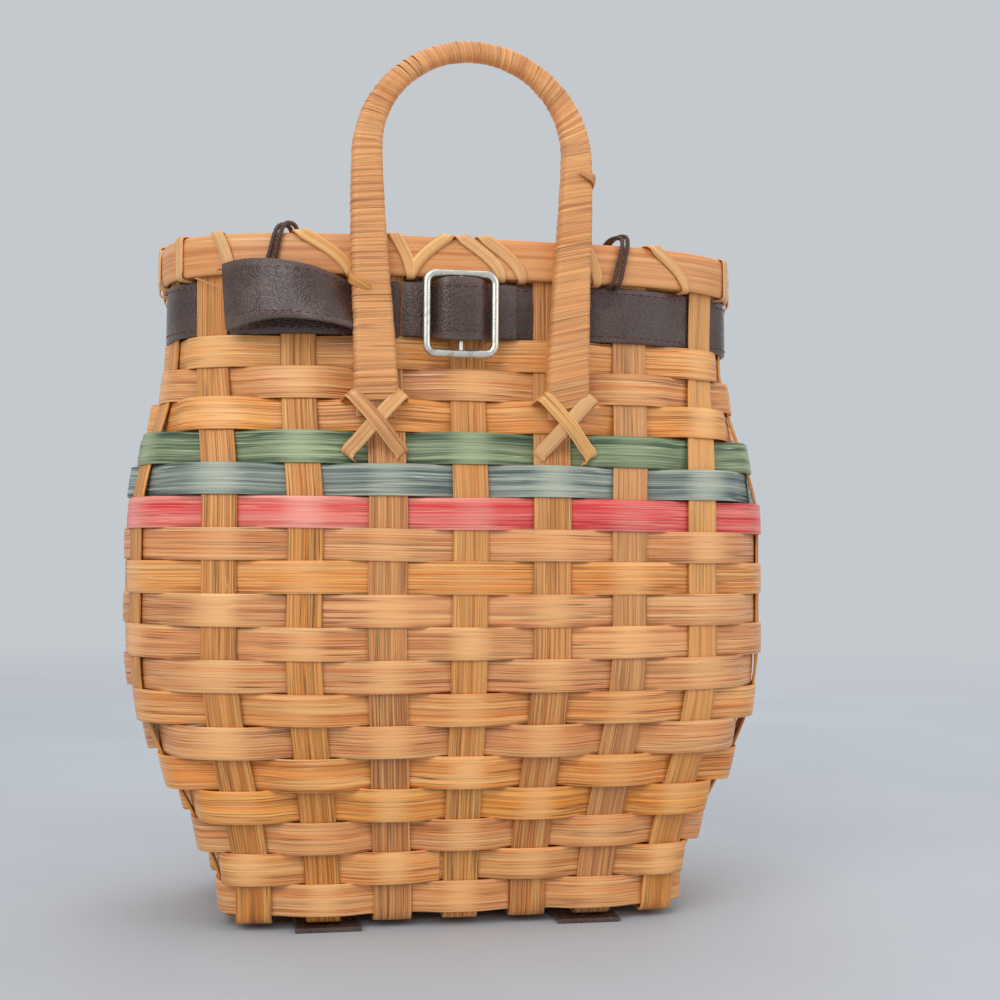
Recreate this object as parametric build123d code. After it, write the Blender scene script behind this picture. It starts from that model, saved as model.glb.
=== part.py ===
from build123d import *
import math
import os

# A woven splint creel worn on the back. Millimetres, +Z up, +X to the wearer's side seen on the
# right from the front, front face towards -Y. The origin is on the ground under the middle of the
# whole outline. The plan is a superellipse whose size and squareness change with height.

# ---- wall shape ----
base_half_width = 110.0
belly_half_width = 158.5
neck_half_width = 139.8
base_front_depth = 63.0
belly_front_depth = 90.0
neck_front_depth = 75.0
base_back_depth = 63.0
belly_back_depth = 72.0
neck_back_depth = 70.0
base_squareness = 9.0
wall_squareness = 3.3
belly_low = 135.0
belly_high = 190.0
neck_height = 275.0
plan_centre_y = -6.0

# ---- splints ----
stake_width = 16.5
stake_thickness = 1.3
weaver_thickness = 1.0
weaver_width = 14.6
dyed_width = 13.8
row_pitch = 15.0
row_count = 18
weave_gap = 0.2
base_corner_room = 14.0
belly_corner_room = 44.5
neck_corner_room = 20.7
side_stake_width = 14.0
base_side_room = 24.75
belly_side_room = 34.5
neck_side_room = 38.75
front_count = 7
side_count = 4
base_turn_radius = 3.0

# ---- rim ----
hoop_height = 19.0
hoop_thickness = 4.45
hoop_edge = 3.0
hoop_edge_inset = 1.7
inner_hoop_height = 11.8
inner_hoop_thickness = 3.65
under_hoop_gap = 2.8
lash_width = 5.5
lash_thickness = 0.5
lash_lean = 20.0
lash_corner_slack = 1.2
stake_top_inset = 0.9

# ---- handle ----
handle_arch_radius = 49.3
handle_arch_height = 35.4
handle_leg_foot_x = 44.5
handle_top_thickness = 9.2
handle_side_thickness = 12.1
handle_foot_thickness = 18.9
handle_depth = 7.6
wrap_thickness = 1.2
wrap_clearance = 0.15
wrap_foot = 251.0
core_foot = 238.0
handle_stand_off = 0.3
cross_half_width = 15.5
cross_half_height = 17.5
cross_height = 243.5
cross_strip_width = 4.6
cross_strip_thickness = 0.6

# ---- harness ----
belt_width = 25.0
belt_thickness = 2.2
tail_thickness = 2.0
tail_bulge = 14.5
buckle_width = 36.0
buckle_height = 40.0
buckle_wire = 3.0
buckle_corner = 5.5
buckle_offset_x = -4.0
bight_thickness = 1.8
bight_half_length = 27.0
strap_width = 31.0
strap_thickness = 2.4
strap_bow = 34.0
strap_front_reach = 3.0
strap_turn = 6.5
soft_gap = 0.3
crease_limit = 0.3
most_divisions = 4

# ---- lid ----
lid_edge_gap = 1.25
lid_border_width = 10.0
lid_border_thickness = 1.6
lid_splint = 1.0
lid_rib_width = 18.0
lid_rib_count = 5
lid_slat_width = 22.0
lid_slat_count = 4
lid_rest_gap = 0.5
cord_diameter = 2.2
cord_bow = 6.0
cord_border_gap = 2.4

# ---- worked out ----
stake_half = stake_thickness / 2
swing = stake_half + weave_gap + weaver_thickness / 2
belt_swing = stake_half + weave_gap + belt_thickness / 2
base_swing = stake_half + weave_gap / 2
base_mid = strap_thickness + soft_gap + base_swing + stake_half
wall_foot = base_mid + base_turn_radius
first_row = wall_foot + soft_gap
belt_foot = first_row + row_count * row_pitch
hoop_foot = belt_foot + belt_width + under_hoop_gap
rim_top = hoop_foot + hoop_height
hoop_face = stake_half + weave_gap + hoop_thickness
lash_face = hoop_face + weave_gap + lash_thickness
inner_hoop_top = hoop_foot + inner_hoop_height
inner_hoop_face = stake_half + weave_gap + inner_hoop_thickness
stake_top = rim_top - stake_top_inset
lid_foot = inner_hoop_top + weave_gap + lash_thickness + lid_rest_gap
lid_inset = stake_half + weave_gap + lid_edge_gap
upright_count = 2 * (front_count + side_count)
base_stake_pitch = (base_half_width - base_corner_room) * 2 / (front_count - 1)
belly_stake_pitch = (belly_half_width - belly_corner_room) * 2 / (front_count - 1)
neck_stake_pitch = (neck_half_width - neck_corner_room) * 2 / (front_count - 1)
base_side_pitch = ((base_front_depth + base_back_depth) / 2 - base_side_room) * 2 / (side_count - 1)
belly_side_pitch = ((belly_front_depth + belly_back_depth) / 2 - belly_side_room) * 2 / (side_count - 1)
neck_side_pitch = ((neck_front_depth + neck_back_depth) / 2 - neck_side_room) * 2 / (side_count - 1)
level_shares = [1 / 9, 2 / 9, 3 / 9, 4 / 9, 6 / 9, 7 / 9, 8 / 9, 1]
wall_levels = [wall_foot] + [first_row + row_count * row_pitch * share for share in level_shares]
wall_levels.append(stake_top)


def ease(t):
    t = min(1.0, max(0.0, t))
    return t * t * (3 - 2 * t)


def with_height(z, base, belly, neck):
    """A wall size at height z: it swells from the base to the belly and draws in to the neck."""
    if z <= belly_high:
        return base + (belly - base) * ease((z - base_mid) / (belly_low - base_mid))
    return belly + (neck - belly) * ease((z - belly_high) / (neck_height - belly_high))


def half_width(z):
    return with_height(z, base_half_width, belly_half_width, neck_half_width)


def depth(z, back):
    if back:
        return with_height(z, base_back_depth, belly_back_depth, neck_back_depth)
    return with_height(z, base_front_depth, belly_front_depth, neck_front_depth)


def squareness(z):
    return with_height(z, base_squareness, wall_squareness, wall_squareness)


def wall_point(z, turn):
    """Point of the wall's middle surface at height z; turn is the superellipse's own angle."""
    power = 2 / squareness(z)
    c, s = math.cos(turn), math.sin(turn)
    x = half_width(z) * math.copysign(abs(c) ** power, c)
    y = depth(z, s > 0) * math.copysign(abs(s) ** power, s)
    return Vector(x, y + plan_centre_y, z)


def turn_at_x(z, x, back):
    turn = math.acos(math.copysign(abs(x / half_width(z)) ** (squareness(z) / 2), x))
    return turn if back else -turn


def turn_at_y(z, y, right):
    turn = math.asin(math.copysign(abs(y / depth(z, y > 0)) ** (squareness(z) / 2), y))
    return turn if right else math.pi - turn


def upright_turns(z):
    """Angles of all uprights, counter-clockwise from the front left one."""
    pitch = with_height(z, base_stake_pitch, belly_stake_pitch, neck_stake_pitch)
    across = [(k - (front_count - 1) / 2) * pitch for k in range(front_count)]
    side_pitch = with_height(z, base_side_pitch, belly_side_pitch, neck_side_pitch)
    along = [(m - (side_count - 1) / 2) * side_pitch for m in range(side_count)]
    turns = [turn_at_x(z, x, False) for x in across] + [turn_at_y(z, y, True) for y in along]
    turns += [turn_at_x(z, x, True) for x in reversed(across)]
    turns += [turn_at_y(z, y, False) for y in reversed(along)]
    return turns


def upright_width(i):
    on_side = i % (upright_count // 2) >= front_count
    return side_stake_width if on_side else stake_width


def seat(z, turn):
    """Wall point with its horizontal tangent and outward normal."""
    step = 0.002
    along = wall_point(z, turn + step) - wall_point(z, turn - step)
    tangent = Vector(along.X, along.Y, 0).normalized()
    return wall_point(z, turn), tangent, Vector(tangent.Y, -tangent.X, 0)


def corner_turns(turns):
    """One extra angle in each corner, half way between the uprights on both sides of it."""
    ends = [front_count - 1, front_count + side_count - 1, 2 * front_count + side_count - 1]
    found = {}
    for i in ends + [upright_count - 1]:
        after = turns[(i + 1) % upright_count]
        gap = (after - turns[i]) % (2 * math.pi)
        found[i] = turns[i] + gap / 2
    return found


def level_seats(z):
    turns = upright_turns(z)
    corners = corner_turns(turns)
    return [seat(z, t) for t in turns], {i: seat(z, t) for i, t in corners.items()}


level_table = [level_seats(z) for z in wall_levels]


def blend(first, second, t):
    return tuple(a + (b - a) * t for a, b in zip(first, second))


def seats_at(z):
    """Seats at any height, straight between the levels, so splints meet wherever they cross."""
    n = 0
    while n < len(wall_levels) - 2 and z > wall_levels[n + 1]:
        n += 1
    t = (z - wall_levels[n]) / (wall_levels[n + 1] - wall_levels[n])
    low, high = level_table[n], level_table[n + 1]
    uprights = [blend(a, b, t) for a, b in zip(low[0], high[0])]
    corners = {i: blend(low[1][i], high[1][i], t) for i in low[1]}
    return uprights, corners


def ring_outline(z, out, wave=0.0):
    """Closed outline that stands out from the wall, and waves to each side of the uprights."""
    uprights, corners = seats_at(z)
    points = []
    for i, (centre, tangent, normal) in enumerate(uprights):
        off = out + (wave if i % 2 else -wave)
        half = upright_width(i) / 2
        points += [centre + tangent * (s * half) + normal * off for s in (-1, 1)]
        if i in corners:
            points.append(corners[i][0] + corners[i][2] * out)
    return points


def polygon(points):
    return Face(Wire.make_polygon(points, close=True))


def stack(outlines):
    return loft([polygon(points) for points in outlines], ruled=True)


def beyond(low, high, reach):
    """Two outlines carried past both ends along the straight lines between them."""
    span = high[0].Z - low[0].Z
    down = [a + (a - b) * (reach / span) for a, b in zip(low, high)]
    up = [b + (b - a) * (reach / span) for a, b in zip(low, high)]
    return [down, up]


def twist(a, b, c, d):
    """How far the last corner lies off the plane of the other three."""
    return abs((d - a).dot((b - a).cross(c - a).normalized()))


def flat_halves(a, b, c, d):
    """A four-cornered stretch of splint as two flat triangles."""
    return [Face(Wire.make_polygon(corners, close=True)) for corners in ([a, b, c], [a, c, d])]


def ruled_stretch(a, b, c, d):
    """A four-cornered stretch of a band: ruled where it twists, else two flat triangles."""
    if twist(a, b, c, d) > crease_limit:
        return [Face.make_surface_from_curves(Edge.make_line(a, b), Edge.make_line(d, c))]
    return flat_halves(a, b, c, d)


def sides_between(here, after, stretch):
    """The four stretches between two neighbouring four-cornered sections."""
    faces = []
    for n in range(4):
        m = (n + 1) % 4
        faces += stretch(here[n], here[m], after[m], after[n])
    return faces


def divided(here, after):
    """Sections from one to the next, closer together the more the strip twists between them."""
    most = max(twist(here[n], here[n + 1], after[n + 1], after[n]) for n in (0, 2))
    parts = min(most_divisions, 1 + int(most / crease_limit))
    return [[p + (q - p) * (k / parts) for p, q in zip(here, after)] for k in range(parts)]


def band(z_low, z_high, inside, outside, wave=0.0):
    """A closed band around the wall between two heights and two offsets."""
    heights, offsets = (z_low, z_high, z_high, z_low), (outside, outside, inside, inside)
    edges = [ring_outline(z, off, wave) for z, off in zip(heights, offsets)]
    sections = list(zip(*edges))
    faces = []
    for here, after in zip(sections, sections[1:] + sections[:1]):
        faces += sides_between(here, after, ruled_stretch)
    return Solid(Shell(faces))


def ribbon(stations, width, thickness):
    """A flat strip through stations of centre, direction across it and direction through it."""
    sections = []
    for centre, across, through in stations:
        a, b = across * (width / 2), through * (thickness / 2)
        sections.append([centre - a - b, centre + a - b, centre + a + b, centre - a + b])
    run = []
    for here, after in zip(sections, sections[1:]):
        run += divided(here, after)
    run.append(sections[-1])
    faces = [polygon(run[0][::-1]), polygon(run[-1])]
    for here, after in zip(run, run[1:]):
        faces += sides_between(here, after, flat_halves)
    return Solid(Shell(faces))


# ---- woven body ----

def wall_run(index, flip):
    """Stations of one upright down the wall, from the top to the foot."""
    run = []
    for n in reversed(range(len(wall_levels))):
        centre, tangent, normal = level_table[n][0][index]
        run.append((centre, tangent * (-1 if flip else 1), normal))
    return run


def turned_corner(foot, inward, across):
    """Stations round the sharp turn from the wall to the base."""
    stations = []
    for angle in (45, 90):
        c, s = math.cos(math.radians(angle)), math.sin(math.radians(angle))
        centre = foot + inward * (base_turn_radius * (1 - c)) + Vector(0, 0, -base_turn_radius * s)
        stations.append((centre, across, inward * -c + Vector(0, 0, -s)))
    return stations


def base_crossings(fixed, at, width, signs, along_y):
    """Stations where a base strip rides over and under the strips that cross it."""
    stations = []
    for place, sign in zip(at, signs):
        for side in (-1, 1):
            moved = place + side * width / 2
            x, y = (fixed, moved) if along_y else (moved, fixed)
            across = Vector(1, 0, 0) if along_y else Vector(0, -1, 0)
            centre = Vector(x, y + plan_centre_y, base_mid + sign * base_swing)
            stations.append((centre, across, Vector(0, 0, -1)))
    return stations


def front_stake(k):
    """Front wall, base and back wall in one long splint."""
    front, back = k, upright_count - side_count - 1 - k
    across = Vector(1, 0, 0)
    side_places = [(m - (side_count - 1) / 2) * base_side_pitch for m in range(side_count)]
    signs = [1 if (k + m) % 2 == 0 else -1 for m in range(side_count)]
    x = (k - (front_count - 1) / 2) * base_stake_pitch
    down, up = wall_run(front, False), wall_run(back, True)
    middle = base_crossings(x, side_places, side_stake_width, signs, True)
    turn_in = turned_corner(down[-1][0], Vector(0, 1, 0), across)
    turn_out = turned_corner(up[-1][0], Vector(0, -1, 0), across)
    return ribbon(down + turn_in + middle + turn_out[::-1] + up[::-1], stake_width, stake_thickness)


def side_stake(m):
    """Left wall, base and right wall in one long splint, woven through the front stakes' bases."""
    left, right = upright_count - 1 - m, front_count + m
    across = Vector(0, -1, 0)
    front_places = [(k - (front_count - 1) / 2) * base_stake_pitch for k in range(front_count)]
    signs = [-1 if (k + m) % 2 == 0 else 1 for k in range(front_count)]
    y = (m - (side_count - 1) / 2) * base_side_pitch
    down, up = wall_run(left, False), wall_run(right, True)
    middle = base_crossings(y, front_places, stake_width, signs, False)
    turn_in = turned_corner(down[-1][0], Vector(1, 0, 0), across)
    turn_out = turned_corner(up[-1][0], Vector(-1, 0, 0), across)
    return ribbon(down + turn_in + middle + turn_out[::-1] + up[::-1], side_stake_width, stake_thickness)


def weaver(row, width):
    foot = first_row + row * row_pitch + (row_pitch - width) / 2
    half = weaver_thickness / 2
    return band(foot, foot + width, -half, half, swing if row % 2 == 0 else -swing)


# ---- rim ----

def outer_hoop():
    inside = stake_half + weave_gap
    heights = [hoop_foot, hoop_foot + hoop_edge, rim_top - hoop_edge, rim_top]
    offsets = [hoop_face - hoop_edge_inset, hoop_face, hoop_face, hoop_face - hoop_edge_inset]
    skin = stack([ring_outline(z, off) for z, off in zip(heights, offsets)])
    inner = [ring_outline(z, inside) for z in (hoop_foot, rim_top)]
    return skin - stack(beyond(inner[0], inner[1], 1.0))


def inner_hoop():
    return band(hoop_foot, inner_hoop_top, -inner_hoop_face, -inner_hoop_face + inner_hoop_thickness)


def lash_loop(foot, tangent, lean, slack):
    """One turn of cane round both hoops from its low crossing, stepped down where the lid seats."""
    normal = Vector(tangent.Y, -tangent.X, 0)
    leaning = tangent * math.cos(lean) + Vector(0, 0, math.sin(lean))
    g, t = weave_gap, lash_thickness
    out, into, step = hoop_face + g, -inner_hoop_face - g - slack, -stake_half - g
    low, high, ledge = hoop_foot - g, rim_top + g, inner_hoop_top + g
    inner = [(out, low), (out, high), (step, high), (step, ledge), (into, ledge), (into, low)]
    outer = [(out + t, low - t), (out + t, high + t), (step - t, high + t), (step - t, ledge + t)]
    outer += [(into - t, ledge + t), (into - t, low - t)]
    frame = Plane(origin=Vector(foot.X, foot.Y, low), x_dir=normal, z_dir=-leaning)

    def ring(points):
        spots = [Vector(n, (z - low) / math.cos(lean), 0) for n, z in points]
        return polygon([frame.from_local_coords(spot) for spot in spots])

    reach = lash_width / 2 / math.cos(lean)
    return extrude(ring(outer) - ring(inner), amount=reach, dir=tangent, both=True)


def rim_lashing():
    """A turn of cane in every gap between uprights, leaning on the two long walls."""
    uprights, corners = seats_at(hoop_foot)
    loops = []
    for i, (centre, tangent, normal) in enumerate(uprights):
        if i in corners:
            loop = lash_loop(corners[i][0], corners[i][1].normalized(), 0.0, lash_corner_slack)
        else:
            after, after_tangent, after_normal = uprights[(i + 1) % upright_count]
            start = centre + tangent * (upright_width(i) / 2)
            end = after - after_tangent * (upright_width(i + 1) / 2)
            lean = math.radians(lash_lean) if upright_width(i) == stake_width else 0.0
            loop = lash_loop((start + end) * 0.5, (end - start).normalized(), lean, 0.0)
        loops.append(loop.solid())
    return Compound(children=loops)


# ---- handle ----

def handle_face_y():
    """Back face of the wrapped handle where it passes the rim."""
    return plan_centre_y - neck_front_depth - lash_face - handle_stand_off


def handle_middle_y(z):
    half = handle_depth / 2 + wrap_clearance + wrap_thickness
    at_rim = handle_face_y() - half
    bulge = swing + weaver_thickness / 2 + handle_stand_off
    at_foot = plan_centre_y - depth(core_foot, False) - bulge - half
    t = min(1.0, max(0.0, (hoop_foot - z) / (hoop_foot - core_foot)))
    return at_rim + (at_foot - at_rim) * t


def handle_stations(foot):
    """Centre, direction across the hoop in its own plane and thickness there, leg to leg."""
    arch_z = rim_top + handle_arch_height
    heights = [foot, (foot + hoop_foot) / 2, hoop_foot, rim_top]
    left = []
    for z in heights:
        t = (z - core_foot) / (arch_z - core_foot)
        x = -handle_leg_foot_x + (handle_leg_foot_x - handle_arch_radius) * t
        size = handle_foot_thickness + (handle_side_thickness - handle_foot_thickness) * t
        left.append((Vector(x, handle_middle_y(z), z), Vector(-1, 0, 0), size))
    arch = []
    steps = 12
    for n in range(steps + 1):
        angle = math.pi * (1 - n / steps)
        rise = math.sin(angle)
        out = Vector(math.cos(angle), 0, rise)
        size = handle_side_thickness + (handle_top_thickness - handle_side_thickness) * rise
        arch.append((Vector(0, handle_middle_y(rim_top), arch_z) + out * handle_arch_radius, out, size))
    right = [(Vector(-c.X, c.Y, c.Z), Vector(1, 0, 0), size) for c, across, size in reversed(left)]
    return left + arch + right


def handle_solid(foot, grow, bevel):
    """The bent hoop, its edges bevelled, grown by a skin."""
    sections = []
    for centre, across, size in handle_stations(foot):
        a, b = size / 2 + grow, handle_depth / 2 + grow
        forward = Vector(0, -1, 0)
        corners = [(-a, -b + bevel), (-a + bevel, -b), (a - bevel, -b), (a, -b + bevel)]
        corners += [(a, b - bevel), (a - bevel, b), (-a + bevel, b), (-a, b - bevel)]
        sections.append(polygon([centre + across * u + forward * v for u, v in corners]))
    return loft(sections, ruled=True)


def handle_core():
    return handle_solid(core_foot, 0.0, 2.2)


def handle_wrap():
    outer = handle_solid(wrap_foot, wrap_clearance + wrap_thickness, 2.9)
    return outer - handle_solid(wrap_foot - 1.0, wrap_clearance, 2.3)


def cross_lashing(side):
    """Two strips of cane crossed over a leg's foot and tucked into the weave beside it."""
    leg_x = side * handle_leg_foot_x
    front = handle_depth / 2 + wrap_clearance + wrap_thickness + soft_gap + cross_strip_thickness / 2
    strips = []
    for lean, layer in ((1, 0.0), (-1, cross_strip_thickness + weave_gap)):
        run = Vector(cross_half_width, 0, -cross_half_height)
        across = Vector(cross_half_height, 0, cross_half_width).normalized()
        stations = []
        for t, up in ((-1, 0.0), (-0.93, 0.5), (-0.84, 1.0), (0.5, 1.0), (0.78, 0.45), (1, 0.0)):
            z = cross_height - cross_half_height * t
            top = handle_middle_y(z) - front - layer
            skin = plan_centre_y - depth(z, False) - swing - weaver_thickness / 2 - soft_gap
            skin -= cross_strip_thickness / 2 + layer
            y = skin + (top - skin) * up
            x = leg_x + lean * run.X * t
            flat = Vector(lean * across.X, 0, across.Z)
            stations.append((Vector(x, y, z), flat, Vector(0, -1, 0)))
        strips.append(ribbon(stations, cross_strip_width, cross_strip_thickness))
    return Compound(children=[strip.solid() for strip in strips])


# ---- harness ----

def belt():
    half = belt_thickness / 2
    return band(belt_foot, belt_foot + belt_width, -half, half, belt_swing)


def front_point(x, out, z):
    """A point off the front wall at sideways place x, out from the wall's middle surface."""
    centre, tangent, normal = seat(z, turn_at_x(z, x, False))
    return centre + normal * out, normal


def on_stake(k, along, out, z):
    """A point off one front stake's own flat face."""
    centre, tangent, normal = seats_at(z)[0][k]
    return centre + tangent * along + normal * out, normal


def belt_tail():
    """Free end of the belt, bowed out between the third and the first stake from the left."""
    z = belt_foot + belt_width / 2
    lie = stake_half + soft_gap + tail_thickness / 2
    near, far = -neck_stake_pitch - stake_width / 2, -3 * neck_stake_pitch + stake_width / 2
    mid, half = (near + far) / 2, (near - far) / 2
    bow = ((-0.72, 0.42), (-0.38, 0.84), (0.0, 1.0), (0.38, 0.84), (0.72, 0.42))
    spots = [on_stake(0, along, lie, z) for along in (-0.3 * stake_width, stake_width / 2)]
    spots += [front_point(mid + half * t, lie + tail_bulge * up, z) for t, up in bow]
    spots += [on_stake(2, along, lie, z) for along in (-stake_width / 2, 0.3 * stake_width)]
    stations = [(centre, Vector(0, 0, 1), normal) for centre, normal in spots]
    return ribbon(stations, belt_width, tail_thickness)


def buckle_back():
    """Distance from the wall to the buckle's back face: it hangs in front of the rim."""
    return lash_face + soft_gap


def buckle():
    """Wire frame with a bar up its middle."""
    outer = RectangleRounded(buckle_width, buckle_height, buckle_corner)
    inner = RectangleRounded(buckle_width - 2 * buckle_wire, buckle_height - 2 * buckle_wire,
                             buckle_corner - buckle_wire)
    bar = Rectangle(buckle_wire, buckle_height - buckle_wire)
    face = outer - inner + bar
    y = plan_centre_y - neck_front_depth - buckle_back()
    spot = Plane(origin=(buckle_offset_x, y, belt_foot + belt_width / 2), x_dir=(1, 0, 0), z_dir=(0, -1, 0))
    return extrude(spot * face, amount=buckle_wire)


def belt_bight():
    """Fold of the belt that passes under the frame's sides and over its middle bar."""
    half = bight_thickness / 2
    flat = belt_swing + belt_thickness / 2 + soft_gap + half
    under = min(buckle_back() - soft_gap - half, flat + 0.6)
    over = buckle_back() + buckle_wire + soft_gap + half
    frame_side = buckle_width / 2
    shape = [(bight_half_length, flat), (frame_side + 1, under), (frame_side - buckle_wire - 1, under)]
    shape += [(buckle_wire / 2 + 1.6, over - 0.2)]
    places = [(-x, out) for x, out in shape] + [(x, out) for x, out in reversed(shape)]
    y = plan_centre_y - neck_front_depth
    stations = []
    for x, out in places:
        centre = Vector(buckle_offset_x + x, y - out, belt_foot + belt_width / 2)
        stations.append((centre, Vector(0, 0, 1), Vector(0, -1, 0)))
    return ribbon(stations, belt_width - 0.6, bight_thickness)


def strap_path():
    """Side view of a shoulder strap as depth and height, from the belt to its end under the front."""
    lie = belt_swing + belt_thickness / 2 + soft_gap + strap_thickness / 2
    back = plan_centre_y + neck_back_depth + lie
    path = [(back, belt_foot + belt_width - 1.5), (back, belt_foot + 3)]
    shape = ((0.95, 0.39), (0.825, 0.82), (0.656, 1.0), (0.495, 1.0), (0.313, 0.79), (0.144, 0.6))
    for height, share in shape:
        z = belt_foot * height
        path.append((plan_centre_y + depth(z, True) + strap_bow * share, z))
    foot = plan_centre_y + base_back_depth
    low = strap_thickness / 2
    path += [(foot + strap_turn * 1.6, wall_foot + strap_turn * 1.5), (foot + strap_turn, wall_foot)]
    path += [(foot + strap_turn / 2, low + strap_turn / 4), (foot, low)]
    return path + [(plan_centre_y - base_front_depth - strap_front_reach, low)]


def shoulder_strap(side):
    """From the belt at the back, out in a bow for the arm, in at the foot and under the base."""
    path = strap_path()
    top_x, foot_x = neck_stake_pitch, 2 * base_stake_pitch - 2.0
    stations = []
    for n, (y, z) in enumerate(path):
        before, after = path[max(0, n - 1)], path[min(len(path) - 1, n + 1)]
        if n == len(path) - 2:
            before = (y + 1, z)
        along = Vector(0, after[0] - before[0], after[1] - before[1]).normalized()
        x = foot_x + (top_x - foot_x) * ease(z / belt_foot)
        stations.append((Vector(side * x, y, z), Vector(1, 0, 0), Vector(0, along.Z, -along.Y)))
    return ribbon(stations, strap_width, strap_thickness)


# ---- lid ----

def lid_outline(z, inset):
    """The rim's inside outline with one point at each upright and corner."""
    uprights, corners = seats_at(min(z, stake_top))
    points = []
    for i, (centre, tangent, normal) in enumerate(uprights):
        points.append(centre - normal * inset)
        if i in corners:
            points.append(corners[i][0] - corners[i][2] * inset)
    return [Vector(p.X, p.Y, z) for p in points]


def lid_border(foot):
    top = foot + lid_border_thickness
    outer = stack([lid_outline(foot, lid_inset), lid_outline(top, lid_inset)])
    inset = lid_inset + lid_border_width
    return outer - stack([lid_outline(foot - 1, inset), lid_outline(top + 1, inset)])


lid_weave_swing = lid_splint / 2 + weave_gap / 2
lid_weave_mid = lid_foot + lid_border_thickness + weave_gap + lid_weave_swing + lid_splint / 2
lid_upper_foot = lid_weave_mid + lid_weave_swing + lid_splint / 2 + weave_gap


def lid_trim():
    """Room between the two borders for the woven panel."""
    inset = lid_inset + 1.0
    return stack([lid_outline(lid_foot, inset), lid_outline(lid_upper_foot, inset)])


def lid_rib_places():
    pitch = 2 * (neck_half_width - lid_inset - 14) / lid_rib_count
    return [(n - (lid_rib_count - 1) / 2) * pitch for n in range(lid_rib_count)]


def lid_slat_places():
    low = plan_centre_y - neck_front_depth + lid_inset + lid_border_width + 2 * cord_diameter
    high = plan_centre_y + neck_back_depth - lid_inset - lid_border_width - cord_diameter
    pitch = (high - low) / lid_slat_count
    return [low + pitch * (n + 0.5) for n in range(lid_slat_count)]


def cord_seat(side):
    """Where a hinge cord crosses the rim: beside the second stake from each end, on its left."""
    x = side * 2 * neck_stake_pitch - stake_width / 2 - 1.5 * cord_diameter
    return seat(rim_top, turn_at_x(rim_top, x, False))


def cord_inset():
    """How far inside the wall a hinge cord drops through the lid, behind its border."""
    return lid_inset + lid_border_width + cord_border_gap + cord_diameter / 2


def cord_passage(side):
    """Gap left in the lid's weave for a hinge cord."""
    centre, tangent, normal = cord_seat(side)
    spot = centre - normal * cord_inset()
    size = cord_diameter + 2 * cord_border_gap
    frame = Plane(origin=Vector(spot.X, spot.Y, lid_weave_mid), x_dir=tangent, z_dir=(0, 0, 1))
    return frame * Box(size, size, 4 * lid_splint + 4 * lid_weave_swing)


def lid_panel(fixed_places, fixed_width, cross_places, cross_width, along_x, parity):
    """One set of the lid's splints, waved over and under the other set and cut to the border."""
    reach = neck_half_width if along_x else max(neck_front_depth, neck_back_depth)
    middle = 0.0 if along_x else plan_centre_y
    solids = []
    for a, fixed in enumerate(fixed_places):
        places = [(middle - reach - 2, 0)]
        for b, place in enumerate(cross_places):
            sign = 1 if (a + b + parity) % 2 else -1
            places += [(place - cross_width / 2, sign), (place + cross_width / 2, sign)]
        places.append((middle + reach + 2, 0))
        stations = []
        for place, sign in places:
            z = lid_weave_mid + sign * lid_weave_swing
            centre = Vector(place, fixed, z) if along_x else Vector(fixed, place, z)
            across = Vector(0, 1, 0) if along_x else Vector(1, 0, 0)
            stations.append((centre, across, Vector(0, 0, 1)))
        strip = ribbon(stations, fixed_width, lid_splint) & lid_trim()
        for side in (-1, 1):
            strip -= cord_passage(side)
        solids += strip.solids()
    return Compound(children=solids)


def lid_slats():
    return lid_panel(lid_slat_places(), lid_slat_width, lid_rib_places(), lid_rib_width, True, 0)


def lid_ribs():
    return lid_panel(lid_rib_places(), lid_rib_width, lid_slat_places(), lid_slat_width, False, 1)


def hinge_cord(side):
    """Waxed cord looped round both hoops and the lid's front border."""
    centre, tangent, normal = cord_seat(side)
    r = cord_diameter / 2
    out, into = lash_face + r, -cord_inset()
    below = hoop_foot - soft_gap - r
    lid_below = lid_foot - soft_gap - r
    hoop_in = -(inner_hoop_face + soft_gap + r)
    lid_top = lid_upper_foot + lid_border_thickness
    crown = lid_top + cord_bow
    points = [(out, below), (out, rim_top), (out - 4, crown), (into + 4, crown - 1), (into, lid_top)]
    points += [(into, lid_below), (hoop_in, lid_below - 2), (hoop_in, below)]
    frame = Plane(origin=Vector(centre.X, centre.Y, 0), x_dir=normal, z_dir=-tangent)
    loop = polygon([frame.from_local_coords(Vector(n, z, 0)) for n, z in points])
    wide = offset(loop, amount=r, kind=Kind.INTERSECTION)
    return extrude(wide - offset(loop, amount=-r, kind=Kind.INTERSECTION), amount=r, both=True)


# ---- assembly ----

def weaver_name(row):
    dyes = {12: "_red", 13: "_blue", 14: "_green"}
    return f"weaver_{row + 1:02d}" + dyes.get(row, "")


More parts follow.
